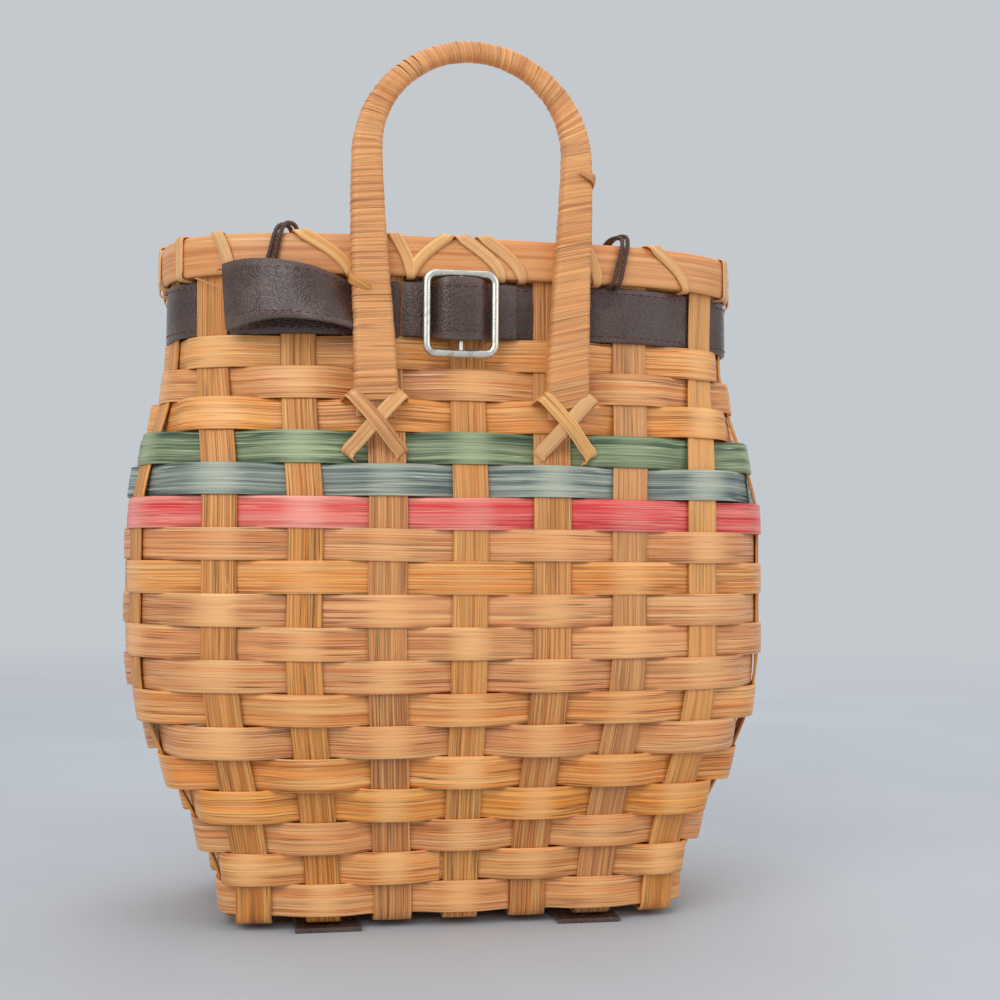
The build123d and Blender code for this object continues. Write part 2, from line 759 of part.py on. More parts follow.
def build():
    nodes = {}
    for k in range(front_count):
        nodes[f"stake_front_{k + 1}"] = front_stake(k)
    for m in range(side_count):
        nodes[f"stake_side_{m + 1}"] = side_stake(m)
    for row in range(row_count):
        name = weaver_name(row)
        nodes[name] = weaver(row, weaver_width if name[-1].isdigit() else dyed_width)
    nodes["rim_outer_hoop"] = outer_hoop()
    nodes["rim_inner_hoop"] = inner_hoop()
    nodes["rim_lashing"] = rim_lashing()
    nodes["handle_core"] = handle_core()
    nodes["handle_wrap"] = handle_wrap()
    nodes["handle_lashing_left"] = cross_lashing(-1)
    nodes["handle_lashing_right"] = cross_lashing(1)
    nodes["harness_belt"] = belt()
    nodes["belt_tail"] = belt_tail()
    nodes["belt_bight"] = belt_bight()
    nodes["slide_buckle"] = buckle()
    nodes["shoulder_strap_left"] = shoulder_strap(-1)
    nodes["shoulder_strap_right"] = shoulder_strap(1)
    nodes["lid_border_lower"] = lid_border(lid_foot)
    nodes["lid_border_upper"] = lid_border(lid_upper_foot)
    nodes["lid_ribs"] = lid_ribs()
    nodes["lid_slats"] = lid_slats()
    nodes["hinge_cord_left"] = hinge_cord(-1)
    nodes["hinge_cord_right"] = hinge_cord(1)
    return nodes


def main():
    os.makedirs("parts", exist_ok=True)
    for name, shape in build().items():
        export_step(shape, f"parts/{name}.step")
        print(name, round(shape.volume, 1), shape.is_valid)


main()
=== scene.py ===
import bpy
import math
import random
import numpy as np
from mathutils import Vector, Matrix


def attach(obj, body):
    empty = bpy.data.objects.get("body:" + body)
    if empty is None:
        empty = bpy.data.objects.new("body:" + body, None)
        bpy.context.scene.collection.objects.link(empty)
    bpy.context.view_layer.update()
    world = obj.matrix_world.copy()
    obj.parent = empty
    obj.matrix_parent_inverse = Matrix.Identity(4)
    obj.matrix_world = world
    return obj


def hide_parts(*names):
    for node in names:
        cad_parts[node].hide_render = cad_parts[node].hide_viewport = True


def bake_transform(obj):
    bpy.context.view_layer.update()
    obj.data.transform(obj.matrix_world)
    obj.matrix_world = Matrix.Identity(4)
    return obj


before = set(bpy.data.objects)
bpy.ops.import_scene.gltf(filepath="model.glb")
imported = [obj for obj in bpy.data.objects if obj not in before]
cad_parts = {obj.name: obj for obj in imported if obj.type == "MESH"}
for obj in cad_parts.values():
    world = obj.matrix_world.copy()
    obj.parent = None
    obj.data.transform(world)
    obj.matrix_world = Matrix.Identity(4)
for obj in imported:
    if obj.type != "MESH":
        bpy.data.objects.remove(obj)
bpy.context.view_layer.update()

mm = 0.001   # shapes are worked out in millimetres and turned to metres when a mesh is made
toRight, toFront, toTop = Vector((1, 0, 0)), Vector((0, -1, 0)), Vector((0, 0, 1))

view = dict(
    place=(-106.0, -772.0, 176.0),      # where the eye is
    yaw=10.0, pitch=2.07, roll=0.35,    # degrees: to the right, up, anticlockwise
    lens=53.6, sensor=36.0, near=0.01, far=20.0,
)


def inScene(name, data):
    thing = bpy.data.objects.new(name, data)
    bpy.context.scene.collection.objects.link(thing)
    return thing


def makeCamera():
    data = bpy.data.cameras.new("viewCamera")
    data.lens, data.sensor_width = view["lens"], view["sensor"]
    data.clip_start, data.clip_end = view["near"], view["far"]
    camera = inScene("viewCamera", data)
    turn = (Matrix.Rotation(math.radians(-view["yaw"]), 4, "Z")
            @ Matrix.Rotation(math.radians(90 + view["pitch"]), 4, "X")
            @ Matrix.Rotation(math.radians(view["roll"]), 4, "Z"))
    camera.matrix_world = Matrix.Translation(Vector(view["place"]) * mm) @ turn
    bpy.context.scene.camera = camera


makeCamera()
print("camera ready")


class Val:
    # a socket that can be added, multiplied and so on with numbers and other sockets
    def __init__(self, tree, socket):
        self.tree, self.socket = tree, socket

    def math(self, operation, *terms):
        return self.tree.add("ShaderNodeMath", {"operation": operation}, dict(enumerate(terms)))

    def __add__(self, other):
        return self.math("ADD", self, other)

    def __radd__(self, other):
        return self.math("ADD", other, self)

    def __sub__(self, other):
        return self.math("SUBTRACT", self, other)

    def __rsub__(self, other):
        return self.math("SUBTRACT", other, self)

    def __mul__(self, other):
        return self.math("MULTIPLY", self, other)

    def __rmul__(self, other):
        return self.math("MULTIPLY", other, self)

    def __abs__(self):
        return self.math("ABSOLUTE", self)

    def part(self, name):
        return Val(self.tree, self.socket.node.outputs[name])


class Finish:
    # the nodes of one of the creel's finishes, or of the light round it
    def __init__(self, name, owner=None):
        self.owner = owner or bpy.data.materials.new(name)
        self.owner.use_nodes = True
        self.nodes, self.links = self.owner.node_tree.nodes, self.owner.node_tree.links
        self.nodes.clear()

    def add(self, kind, settings=None, values=None):
        node = self.nodes.new(kind)
        for key, value in (settings or {}).items():
            setattr(node, key, value)
        for key, value in (values or {}).items():
            socket = node.inputs[key]
            if isinstance(value, Val):
                self.links.new(value.socket, socket)
            elif socket.type == "RGBA":
                socket.default_value = (*value, 1.0)
            else:
                socket.default_value = value
        return Val(self, node.outputs[0] if node.outputs else None)

    def mix(self, mask, first, second):
        # 6, 7 and 2 are the places of a Mix node's sockets for colours
        mixed = self.add("ShaderNodeMix", {"data_type": "RGBA"}, {0: mask, 6: first, 7: second})
        return mixed.part(2)

    def strip(self):
        # x along a strip, y across it, z a number of its own, in metres
        return self.add("ShaderNodeAttribute", {"attribute_name": "strip"}).part("Vector")

    # the wear attribute, 0 to 1, makes a strip paler; on the weavers it is a painted highlight
    # where they bulge over the uprights
    def wear(self):
        return self.add("ShaderNodeAttribute", {"attribute_name": "wear"}).part("Fac")

    def spot(self):
        return self.add("ShaderNodeTexCoord").part("Object")

    def stretched(self, vector, *stretch):
        return self.add("ShaderNodeVectorMath", {"operation": "MULTIPLY"},
                        {0: vector, 1: stretch})

    def noise(self, vector, scale, detail=3.0, roughness=0.55):
        return self.add("ShaderNodeTexNoise", {}, {"Vector": vector, "Scale": scale,
                                                   "Detail": detail, "Roughness": roughness})

    def grain(self, place, along, across, detail=3.0, roughness=0.55, own=1.0):
        # a noise with so many patches a metre along a strip and across it
        return self.noise(self.stretched(place, along, across, own), 1.0, detail, roughness)

    def twist(self, place, scale, distortion, detail=2.0):
        return self.add("ShaderNodeTexWave",
                        {"wave_type": "BANDS", "bands_direction": "DIAGONAL"},
                        {"Vector": place, "Scale": scale, "Distortion": distortion,
                         "Detail": detail})

    def between(self, value, low, high, to0=0.0, to1=1.0):
        return self.add("ShaderNodeMapRange", {"interpolation_type": "SMOOTHSTEP"},
                        {"Value": value, "From Min": low, "From Max": high,
                         "To Min": to0, "To Max": to1})

    def bump(self, height, distance, strength=1.0, under=None):
        values = {"Height": height, "Distance": distance, "Strength": strength}
        if under is not None:
            values["Normal"] = under
        return self.add("ShaderNodeBump", {}, values)

    def coat(self, colour, roughness, normal, others=None):
        return self.add("ShaderNodeBsdfPrincipled", {},
                        {"Base Color": colour, "Roughness": roughness, "Normal": normal,
                         **(others or {})})

    def done(self, shader, output="ShaderNodeOutputMaterial"):
        self.add(output, {}, {"Surface": shader})
        return self.owner


def linear(*colour):
    # a colour as it looks on screen, 0 to 255, turned to the shader's own scale
    return tuple(c / 255 / 12.92 if c / 255 <= 0.04045 else ((c / 255 + 0.055) / 1.055) ** 2.4
                 for c in colour)


splintFinishes = {
    # pale, middle and dark of the wood on screen; fine lines per metre across a strip and the
    # strength of dark and light ones; depth of the grain; strength of dark clouds
    "weaverSplint": dict(pale=(255, 194, 126), mid=(242, 149, 80), dark=(124, 58, 22),
                         lines=740, dark1=0.85, light1=0.5, grain=0.0001, rough=0.33, cloud=0.26),
    "stakeSplint": dict(pale=(244, 180, 110), mid=(208, 124, 60), dark=(92, 46, 18),
                        lines=760, dark1=0.9, light1=0.45, grain=0.00016, rough=0.42, cloud=0.24),
    "dyedGreen": dict(pale=(178, 190, 148), mid=(58, 88, 56), dark=(16, 38, 26),
                      lines=1000, dark1=0.8, light1=0.85, grain=0.00012, rough=0.36, cloud=0.35),
    "dyedBlue": dict(pale=(196, 202, 180), mid=(82, 106, 108), dark=(22, 40, 54),
                     lines=1000, dark1=0.8, light1=0.8, grain=0.00012, rough=0.36, cloud=0.4),
    "dyedRed": dict(pale=(255, 170, 152), mid=(236, 80, 84), dark=(160, 30, 44),
                    lines=1000, dark1=0.55, light1=0.6, grain=0.00012, rough=0.36, cloud=0.28),
    "rimHoop": dict(pale=(250, 184, 112), mid=(234, 148, 78), dark=(178, 102, 46),
                    lines=300, dark1=0.3, light1=0.2, grain=0.00004, rough=0.32, cloud=0.3),
    "caneLashing": dict(pale=(252, 200, 134), mid=(232, 158, 90), dark=(140, 80, 36),
                        lines=860, dark1=0.6, light1=0.4, grain=0.0001, rough=0.34, cloud=0.2),
    "handleCane": dict(pale=(255, 188, 116), mid=(232, 146, 76), dark=(112, 58, 22),
                       lines=860, dark1=0.7, light1=0.4, grain=0.00014, rough=0.38, cloud=0.22),
    "handleHoop": dict(pale=(220, 160, 100), mid=(188, 126, 72), dark=(110, 66, 32),
                       lines=500, dark1=0.5, light1=0.2, grain=0.00006, rough=0.5, cloud=0.3),
    "lidSplint": dict(pale=(252, 200, 136), mid=(236, 154, 86), dark=(140, 78, 36),
                      lines=560, dark1=0.6, light1=0.3, grain=0.0001, rough=0.38, cloud=0.28),
}


def thinLines(f, place, along, across, sharp):
    # lines that follow the strip: the places where a stretched noise passes its middle value
    value = f.grain(place, along, across, 2.0, 0.5)
    return f.between(abs(value - 0.5), 0.0, sharp, 1.0, 0.0)


def splintFinish(name):
    look = splintFinishes[name]
    f = Finish(name)
    place = f.strip()
    pale, mid, dark = linear(*look["pale"]), linear(*look["mid"]), linear(*look["dark"])
    fibre = f.grain(place, 9, look["lines"] * 1.9, roughness=0.6)
    broad = f.grain(place, 5, 380, roughness=0.5)
    cloud = f.grain(place, 15, 90)
    pores = thinLines(f, place, 7.0, look["lines"], 0.045)
    pits = thinLines(f, f.stretched(place, 1.0, 1.0, 3.7), 9.0, look["lines"] * 0.6, 0.03)
    fade = f.between(f.grain(place, 16, 180, own=2.0), 0.38, 0.62)
    colour = f.mix(f.between(broad, 0.28, 0.74), mid, pale)
    colour = f.mix(f.between(cloud, 0.5, 0.8) * look["cloud"], colour, dark)
    colour = f.mix(f.between(fibre, 0.42, 0.62) * 0.4, colour, dark)
    colour = f.mix(pits * look["light1"], colour, pale)
    colour = f.mix(pores * (fade * 0.75 + 0.25) * look["dark1"], colour, dark)
    # no two strips have quite the same colour
    number = f.add("ShaderNodeSeparateXYZ", {}, {0: place}).part("Z")
    each = f.add("ShaderNodeTexWhiteNoise", {"noise_dimensions": "1D"}, {"W": number})
    own = f.add("ShaderNodeHueSaturation", {},
                {"Hue": each * 0.006 + 0.497, "Saturation": each * 0.12 + 0.96,
                 "Value": each * 0.18 + 0.9, "Color": colour})
    # paler where the wear attribute is high: on the weavers' bulges this is a painted highlight
    wornAndHighlit = f.mix(f.wear() * (f.between(fibre, 0.3, 0.6) * 0.5 + 0.4), own, pale)
    rough = f.between(fibre, 0.3, 0.7, look["rough"] - 0.07, look["rough"] + 0.14)
    ridges = f.bump(fibre - pores * 0.8, look["grain"])
    return f.done(f.coat(wornAndHighlit, rough, f.bump(broad, 0.0002, 0.6, ridges)))


# face and low are the leather's own colours; high is a lighter colour used for painted sheen and
# for worn edges
leatherLook = dict(face=(74, 52, 44), low=(44, 30, 26), high=(128, 108, 98), rough=0.24,
                   grainSize=1100.0, grainDepth=0.00032, coat=0.2, coatRough=0.14)


def leatherFinish():
    f = Finish("harnessLeather")
    spot, look = f.spot(), leatherLook
    cells = f.add("ShaderNodeTexVoronoi", {"feature": "SMOOTH_F1"},
                  {"Vector": spot, "Scale": look["grainSize"], "Smoothness": 0.5})
    creases = f.noise(spot, 330.0, 4.0, 0.6)
    sheenPatches = f.noise(spot, 45.0, 3.0, 0.5)
    high = linear(*look["high"])
    colour = f.mix(f.between(cells, 0.3, 0.8) * 0.6, linear(*look["face"]), linear(*look["low"]))
    # painted sheen: lighter patches of the high colour stand in for highlights on the glossy
    # leather
    colour = f.mix(f.between(sheenPatches, 0.45, 0.75) * 0.25, colour, high)
    colour = f.mix(f.wear() * 0.45, colour, high)
    rough = f.between(creases, 0.3, 0.7, look["rough"] - 0.05, look["rough"] + 0.14)
    pebbles = f.bump(1 - cells, look["grainDepth"], 0.9)
    return f.done(f.coat(colour, rough, f.bump(creases, 0.0005, 0.8, pebbles),
                         {"Coat Weight": look["coat"], "Coat Roughness": look["coatRough"]}))


def threadFinish():
    f = Finish("stitchThread")
    place = f.strip()
    twist = f.twist(place, 700.0, 1.0)
    colour = f.mix(twist, linear(66, 22, 26), linear(124, 46, 50))
    rough = f.between(f.noise(place, 900.0), 0.3, 0.7, 0.6, 0.8)
    return f.done(f.coat(colour, rough, f.bump(twist, 0.0001, 0.7)))


def metalFinish():
    f = Finish("buckleMetal")
    spot = f.spot()
    cloud = f.noise(spot, 120.0, 4.0, 0.6)
    pits = f.noise(spot, 1400.0, 3.0, 0.6)
    tarnish = f.between(cloud, 0.48, 0.7)
    colour = f.mix(tarnish, linear(226, 223, 212), linear(178, 168, 148))
    colour = f.mix(f.between(pits, 0.62, 0.78) * 0.4, colour, linear(104, 94, 78))
    rough = f.between(cloud, 0.3, 0.7, 0.2, 0.42)
    return f.done(f.coat(colour, rough, f.bump(pits, 0.00006, 0.5),
                         {"Metallic": 1 - f.between(pits, 0.62, 0.8) * 0.35}))


def cordFinish():
    f = Finish("waxedCord")
    place = f.strip()
    twist = f.twist(place, 420.0, 2.0)
    colour = f.mix(twist * 0.6, linear(66, 44, 36), linear(112, 82, 66))
    rough = f.between(f.noise(place, 1500.0, 3.0, 0.6), 0.3, 0.7, 0.38, 0.56)
    return f.done(f.coat(colour, rough, f.bump(twist, 0.00012, 0.8)))


finishes = {name: splintFinish(name) for name in splintFinishes}
finishes.update(leather=leatherFinish(), thread=threadFinish(), metal=metalFinish(),
                cord=cordFinish())
print("finishes ready")


class Shape:
    # gathers strips of faces, then becomes one object
    def __init__(self):
        self.verts, self.faces, self.strip, self.wear, self.slots = [], [], [], [], []

    def sweep(self, stations, section, seed, closed=False, wear=None, slot=0, start=0.0):
        # stations are (centre, across, through); section is a list of (u, v) points in order, or
        # gives that list for a station's number; wear(n, u, v) is 0 to 1
        base, first, count = len(self.verts), len(self.faces), len(stations)
        run, last = start, stations[0][0]
        for n, (centre, across, through) in enumerate(stations):
            run += (centre - last).length
            last = centre
            points = section(n) if callable(section) else section
            size = len(points)
            for u, v in points:
                self.verts.append(centre + across * u + through * v)
                self.strip.append((run * mm, u * mm, seed))
                self.wear.append(wear(n, u, v) if wear else 0.0)
        for n in range(count if closed else count - 1):
            a, b = base + n * size, base + ((n + 1) % count) * size
            for k in range(size):
                m = (k + 1) % size
                self.faces.append((a + k, a + m, b + m, b + k))
        if not closed:
            self.faces.append(tuple(base + k for k in reversed(range(size))))
            self.faces.append(tuple(base + (count - 1) * size + k for k in range(size)))
        self.turnOut(first)
        self.slots += [slot] * (len(self.faces) - first)

    def turnOut(self, first):
        # faces added since first all point outward
        volume = 0.0
        for face in self.faces[first:]:
            a = self.verts[face[0]]
            for j in range(1, len(face) - 1):
                volume += a.dot(self.verts[face[j]].cross(self.verts[face[j + 1]]))
        if volume < 0:
            self.faces[first:] = [tuple(reversed(face)) for face in self.faces[first:]]

    def make(self, name, body, slotName, *looks, sharp=50.0):
        nodes, name = [name], "made_" + name   # the object stands in for the node of its name
        mesh = bpy.data.meshes.new(name)
        mesh.from_pydata([v * mm for v in self.verts], [], self.faces)
        for look in looks:
            mesh.materials.append(finishes[look])
        mesh.polygons.foreach_set("material_index", self.slots)
        mesh.polygons.foreach_set("use_smooth", [True] * len(self.faces))
        strip = mesh.attributes.new("strip", "FLOAT_VECTOR", "POINT")
        strip.data.foreach_set("vector", [c for s in self.strip for c in s])
        wear = mesh.attributes.new("wear", "FLOAT", "POINT")
        wear.data.foreach_set("value", self.wear)
        mesh.update()
        mesh.set_sharp_from_angle(angle=math.radians(sharp))
        piece = inScene(name, mesh)
        if body:
            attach(piece, body)
        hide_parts(*nodes)
        return piece


def makeStrip(name, body, slotName, look, stations, section, seed,
              closed=False, wear=None, sharp=50.0):
    # an object of one strip
    shape = Shape()
    shape.sweep(stations, section, seed, closed=closed, wear=wear)
    shape.make(name, body, slotName, look, sharp=sharp)


def stripSection(half, t, crown, power, steps, edge, tuck, shoulder):
    # a strip's section, half its width and thickness: crowned faces and rounded edges
    inner, points = half - edge, []
    for way in (1, -1):
        for n in range(steps + 1):
            u = way * (-inner + 2 * inner * n / steps)
            points.append((u, way * t + crown * (1 - (u / half) ** power)))
        points += [(way * (half - tuck), way * t * shoulder), (way * half, 0.0),
                   (way * (half - tuck), -way * t * shoulder)]
    return points


def flatSection(width, thick, crown=0.0, steps=6):
    return stripSection(width / 2, thick / 2, crown, 2, steps, 0.36 * thick, 0.08 * thick, 0.62)


def leatherSection(width, thick, crown=0.12):
    edge = min(0.8, thick / 2 * 0.8)
    return stripSection(width / 2, thick / 2, crown, 4, 8, edge, edge * 0.3, 0.7)


def circle(count, power=(1, 1), radius=(1, 1)):
    # points round a circle, or round a box with soft corners when the powers are below 1
    turns = [2 * math.pi * k / count for k in range(count)]
    return [tuple(r * math.copysign(abs(c) ** p, c)
                  for r, p, c in zip(radius, power, (math.cos(a), math.sin(a)))) for a in turns]


def roundSection(radius, count=10):
    return circle(count, radius=(radius, radius))


def onTop(amount):
    # wear on a strip's outer face
    return lambda n, u, v: amount if v > 0 else 0.0


def onTopEach(amounts):
    # the same with an amount for each station; on the weavers this is a painted highlight
    return lambda n, u, v: amounts[n] if v > 0 else 0.0


def onEdges(amount, start, over):
    # wear that grows from a distance off the strip's middle
    return lambda n, u, v: amount * ease((abs(u) - start) / over)


def clamp(t):
    return min(1.0, max(0.0, t))


def ease(t):
    t = clamp(t)
    return t * t * (3 - 2 * t)


drawn = {}


def waver(seed, x, step):
    # a smooth number from -1 to 1 that wanders as x grows, the same every time
    k = math.floor(x / step)
    for place in (k, k + 1):
        if (seed, place) not in drawn:
            drawn[seed, place] = random.Random(f"{seed} {place}").uniform(-1, 1)
    a, b = drawn[seed, k], drawn[seed, k + 1]
    return a + (b - a) * ease(x / step - k)


def wandered(most, seed, x):
    # most is how far, and over what distance
    size, step = most
    return size * waver(seed, x, step)


def bend(a, corner, b, t):
    # a point of the arc that starts at a, turns at the corner and ends at b
    return a * (1 - t) ** 2 + corner * (2 * t * (1 - t)) + b * t * t


def rounded(points, reach, steps=5, closed=False):
    # a polyline with each corner turned into an arc that starts at most so far away from it
    out, count = [], len(points)
    for n, p in enumerate(points):
        if not closed and n in (0, count - 1):
            out.append(p.copy())
            continue
        legs = [other - p for other in (points[n - 1], points[(n + 1) % count])]
        a, b = [p + leg.normalized() * min(reach, leg.length * 0.48) for leg in legs]
        out += [bend(a, p, b, k / steps) for k in range(steps + 1)]
    return out


def resampled(points, step, closed=False):
    pts = points + ([points[0]] if closed else [])
    runs = [0.0]
    for a, b in zip(pts, pts[1:]):
        runs.append(runs[-1] + (b - a).length)
    count = max(3, int(round(runs[-1] / step)))
    out, k = [], 0
    for n in range(count if closed else count + 1):
        want = runs[-1] * n / count
        while k < len(runs) - 2 and runs[k + 1] < want:
            k += 1
        t = (want - runs[k]) / max(1e-9, runs[k + 1] - runs[k])
        out.append(pts[k].lerp(pts[k + 1], t))
    return out


def square(vector, along):
    # what a direction has at right angles to another one
    return (vector - along * vector.dot(along)).normalized()


def tipped(across, out, degrees):
    # two directions turned together, the first one towards the second
    c, s = math.cos(math.radians(degrees)), math.sin(math.radians(degrees))
    return across * c + out * s, out * c - across * s


def onward(path, closed=False):
    # each point of a path with the direction of the path there
    count = len(path)
    for n, p in enumerate(path):
        ahead = path[(n + 1) % count] if closed else path[min(n + 1, count - 1)]
        behind = path[n - 1] if closed else path[max(n - 1, 0)]
        yield p, (ahead - behind).normalized()


wall = dict(
    # at the base, the belly and the neck
    halfWidth=(110.0, 158.5, 139.8), front=(63.0, 90.0, 75.0), back=(63.0, 72.0, 70.0),
    squareness=(9.0, 3.3, 3.3), pitch=(32.0, 38.0, 39.7), sidePitch=(25.5, 31.0, 22.5),
    base=4.1, bellyLow=135.0, bellyHigh=190.0, neck=275.0, middleY=-6.0,
    frontCount=7, sideCount=4, firstRow=7.4, rowPitch=15.0,
    beltFoot=277.4, hoopFoot=305.2, rimTop=324.2,
    outlineSteps=2881, tangentReach=1.5,
)
around = 2 * (wall["frontCount"] + wall["sideCount"])   # how often an upright stands in the wall
neckFront, neckBack = wall["middleY"] - wall["front"][2], wall["middleY"] + wall["back"][2]


def atHeight(z, sizes):
    base, belly, neck = sizes
    if z <= wall["bellyHigh"]:
        share = ease((z - wall["base"]) / (wall["bellyLow"] - wall["base"]))
        return base + (belly - base) * share
    share = ease((z - wall["bellyHigh"]) / (wall["neck"] - wall["bellyHigh"]))
    return belly + (neck - belly) * share


def spread(count, pitch, middle=0.0):
    # places at even distances on both sides of the middle
    return [(k - (count - 1) / 2) * pitch + middle for k in range(count)]


rings = {}


def ringAt(z):
    # outline at height z: points, distance run, and where each upright crosses it
    key = round(z, 2)
    if key in rings:
        return rings[key]
    half, front, back, power, pitch, sidePitch = [
        atHeight(z, wall[size])
        for size in ("halfWidth", "front", "back", "squareness", "pitch", "sidePitch")]

    def rest(share):
        return (1 - min(1.0, abs(share)) ** power) ** (1 / power)

    across, along = spread(wall["frontCount"], pitch), spread(wall["sideCount"], sidePitch)
    spots = [(px, -front * rest(px / half)) for px in across]
    spots += [(half * rest(py / (back if py > 0 else front)), py) for py in along]
    spots += [(px, back * rest(px / half)) for px in reversed(across)]
    spots += [(-half * rest(py / (back if py > 0 else front)), py) for py in reversed(along)]
    angles = np.unwrap([math.atan2(py, px) for px, py in spots])
    angle = np.linspace(angles[0], angles[0] + 2 * math.pi, wall["outlineSteps"])
    c, s = np.cos(angle), np.sin(angle)
    depth = np.where(s > 0, back, front)
    reach = (np.abs(c / half) ** power + np.abs(s / depth) ** power) ** (-1 / power)
    x, y = reach * c, reach * s + wall["middleY"]
    run = np.concatenate([[0], np.cumsum(np.hypot(np.diff(x), np.diff(y)))])
    rings[key] = (x, y, run, list(np.interp(angles, angle, run)) + [run[-1]])
    return rings[key]


def wallSpot(z, u):
    # the wall's middle surface: point, direction round the wall and outward normal;
    # u counts uprights from the front left one
    x, y, run, marks = ringAt(z)
    u = u % around
    k = int(u)
    s = marks[k] + (marks[k + 1] - marks[k]) * (u - k)
    places = [place % run[-1] for place in (s, s - wall["tangentReach"], s + wall["tangentReach"])]
    (px, ax, bx), (py, ay, by) = np.interp(places, run, x), np.interp(places, run, y)
    size = math.hypot(bx - ax, by - ay)
    tangent = Vector(((bx - ax) / size, (by - ay) / size, 0))
    return Vector((px, py, z)), tangent, Vector((tangent.y, -tangent.x, 0))


weave = dict(
    rows=18, thickness=1.0, crown=0.12, width=15.1, dyedWidth=14.9, height=14.6, dyedHeight=13.8,
    swing=1.5, flatness=1.5, samples=24,
    upright=0.5, clear=0.95,     # how much more upright than the wall, and the room that needs
    fitted=0.5,                  # how far the width follows the wall's slope
    # how far the overlapped ends lie in and out, and where that begins and over what distance
    tuck=1.02, tuckIn=(0.3, 0.45), tuckOut=(-0.05, 0.4), begin=0.08, overlap=1.6,
    # how much a strip wanders, and over how many uprights
    wander=dict(lift=(0.12, 1.7), rise=(0.35, 1.3), lean=(1.2, 1.9), width=(0.35, 2.3)),
    rub=0.6, rubAndSheenWander=(0.4, 19), sheenNarrow=9,   # painted highlight where a strip bulges over an upright: how pale it is, and how narrowly
    # the upright at which each row begins
    ends=(13, 1, 16, 11, 14, 19, 12, 17, 14, 11, 18, 13, 12, 15, 18, 13, 16, 11),
    dyes={12: ("_red", "dyedRed", "dyed_red"), 13: ("_blue", "dyedBlue", "dyed_blue"),
          14: ("_green", "dyedGreen", "dyed_green")},
)


def waveAt(u, sign, flatness):
    # +1 outside the uprights with odd numbers when sign is 1
    return math.tanh(-sign * flatness * math.cos(math.pi * u)) / math.tanh(flatness)


def wovenRow(name, row, look, slotName):
    # one strip round the wall, over and under the uprights
    dyed = row in weave["dyes"]
    width, height = [weave[size] for size in
                     (("dyedWidth", "dyedHeight") if dyed else ("width", "height"))]
    mid = wall["firstRow"] + row * wall["rowPitch"] + height / 2
    low, high = mid - width / 2, mid + width / 2
    start = weave["ends"][row] + weave["begin"]
    length = around + weave["overlap"]
    count = int(length * weave["samples"])
    stations, waves, widths = [], [], []
    for n in range(count + 1):
        u = start + length * n / count
        lift, rise, lean, wider = [wandered(most, (what, row), u)
                                   for what, most in weave["wander"].items()]
        wave = waveAt(u, 1 if row % 2 == 0 else -1, weave["flatness"])
        # one end starts under the strip's other end, which comes to lie on it
        under, over = [ease((u - start - turn - place) / ramp) for turn, (place, ramp)
                       in ((0, weave["tuckIn"]), (around, weave["tuckOut"]))]
        off = wave * weave["swing"] + weave["tuck"] * (over - 1 + under) + lift
        a, tangent, normal = wallSpot(low, u)
        b = wallSpot(high, u)[0]
        # a strip stands more upright than the wall slopes, so its edge steps out over the next
        slope = (b - a).normalized()
        across = slope.lerp(toTop, weave["upright"]).normalized()
        off += wave * width / 2 * math.sin(slope.angle(across)) * weave["clear"]
        out = tangent.cross(across).normalized()
        if out.dot(normal) < 0:
            out = -out
        centre = (a + b) * 0.5 + out * off + across * rise
        stations.append((centre, *tipped(across, out, lean)))
        waves.append(wave)
        widths.append(width + ((b - a).length - width) * weave["fitted"] + wider)
    # painted highlight: a strip is painted paler where it bulges over an upright
    rubbedAndSheen = [max(0.0, wave) ** weave["sheenNarrow"]
              * (weave["rub"] + wandered(weave["rubAndSheenWander"], ("wear", row), n))
              for n, wave in enumerate(waves)]
    makeStrip(name, "basket", slotName, look, stations,
              lambda n: flatSection(widths[n], weave["thickness"], weave["crown"]),
              row * 0.37 + 0.1, wear=onTopEach(rubbedAndSheen))


def makeWeave():
    for row in range(weave["rows"]):
        tail, look, slotName = weave["dyes"].get(row, ("", "weaverSplint", "weaver_splint"))
        wovenRow(f"weaver_{row + 1:02d}{tail}", row, look, slotName)


stakes = dict(
    thickness=1.3, crown=0.16, frontWidths=(17.0, 16.4, 18.0, 16.6, 18.0, 17.4, 16.4),
    sideWidth=14.0, top=323.3, foot=8.5, floor=4.1, turn=3.6, baseSwing=0.78, crossing=11.0,
    step=5.0, baseStep=3.0, bendSteps=6,
    drift=(0.5, 46.0), tilt=(1.5, 60.0), widen=(0.35, 14),   # how far, and over what distance
    baseOutline=6.0, kneeRise=0.2, paleHeight=320,
    frontPale=(0.1, 0.05, 0.1, 0.3, 0.12, 0.3, 0.62), sidePale=0.2,
)


def wallStations(u, seed):
    # down the wall from the top
    stations, z = [], stakes["top"]
    while z > stakes["foot"]:
        a, tangent, normal = wallSpot(z, u)
        along = (wallSpot(z - 2.0, u)[0] - a).normalized()
        across = square(tangent, along)
        out = across.cross(along)
        if out.dot(normal) < 0:
            out = -out
        centre = a + across * wandered(stakes["drift"], (seed, "side"), z)
        stations.append((centre, *tipped(across, out, wandered(stakes["tilt"], (seed, "tilt"), z))))
        z -= stakes["step"]
    return stations


def overUnder(s, crossings, reach):
    # 1 over a strip that crosses at a place with sign 1, -1 under one with sign -1
    return sum(sign * math.exp(-((s - place) / reach) ** 4) for place, sign in crossings)


def baseStations(u, other, crossings, along):
    # across the base from one wall's foot to the other's, over and under the strips that cross it
    a, b = [wallSpot(stakes["baseOutline"], place)[0] for place in (u, other)]
    a.z = b.z = stakes["floor"]
    direction = (b - a).normalized()
    length = (b - a).length - 2 * stakes["turn"]
    steps, stations = int(length / stakes["baseStep"]), []
    for n in range(steps + 1):
        spot = a + direction * (stakes["turn"] + length * n / steps)
        lift = overUnder(spot.dot(along), crossings, stakes["crossing"])
        stations.append((spot + toTop * (stakes["baseSwing"] * lift),
                         Vector((direction.y, -direction.x, 0)), -toTop))
    return stations


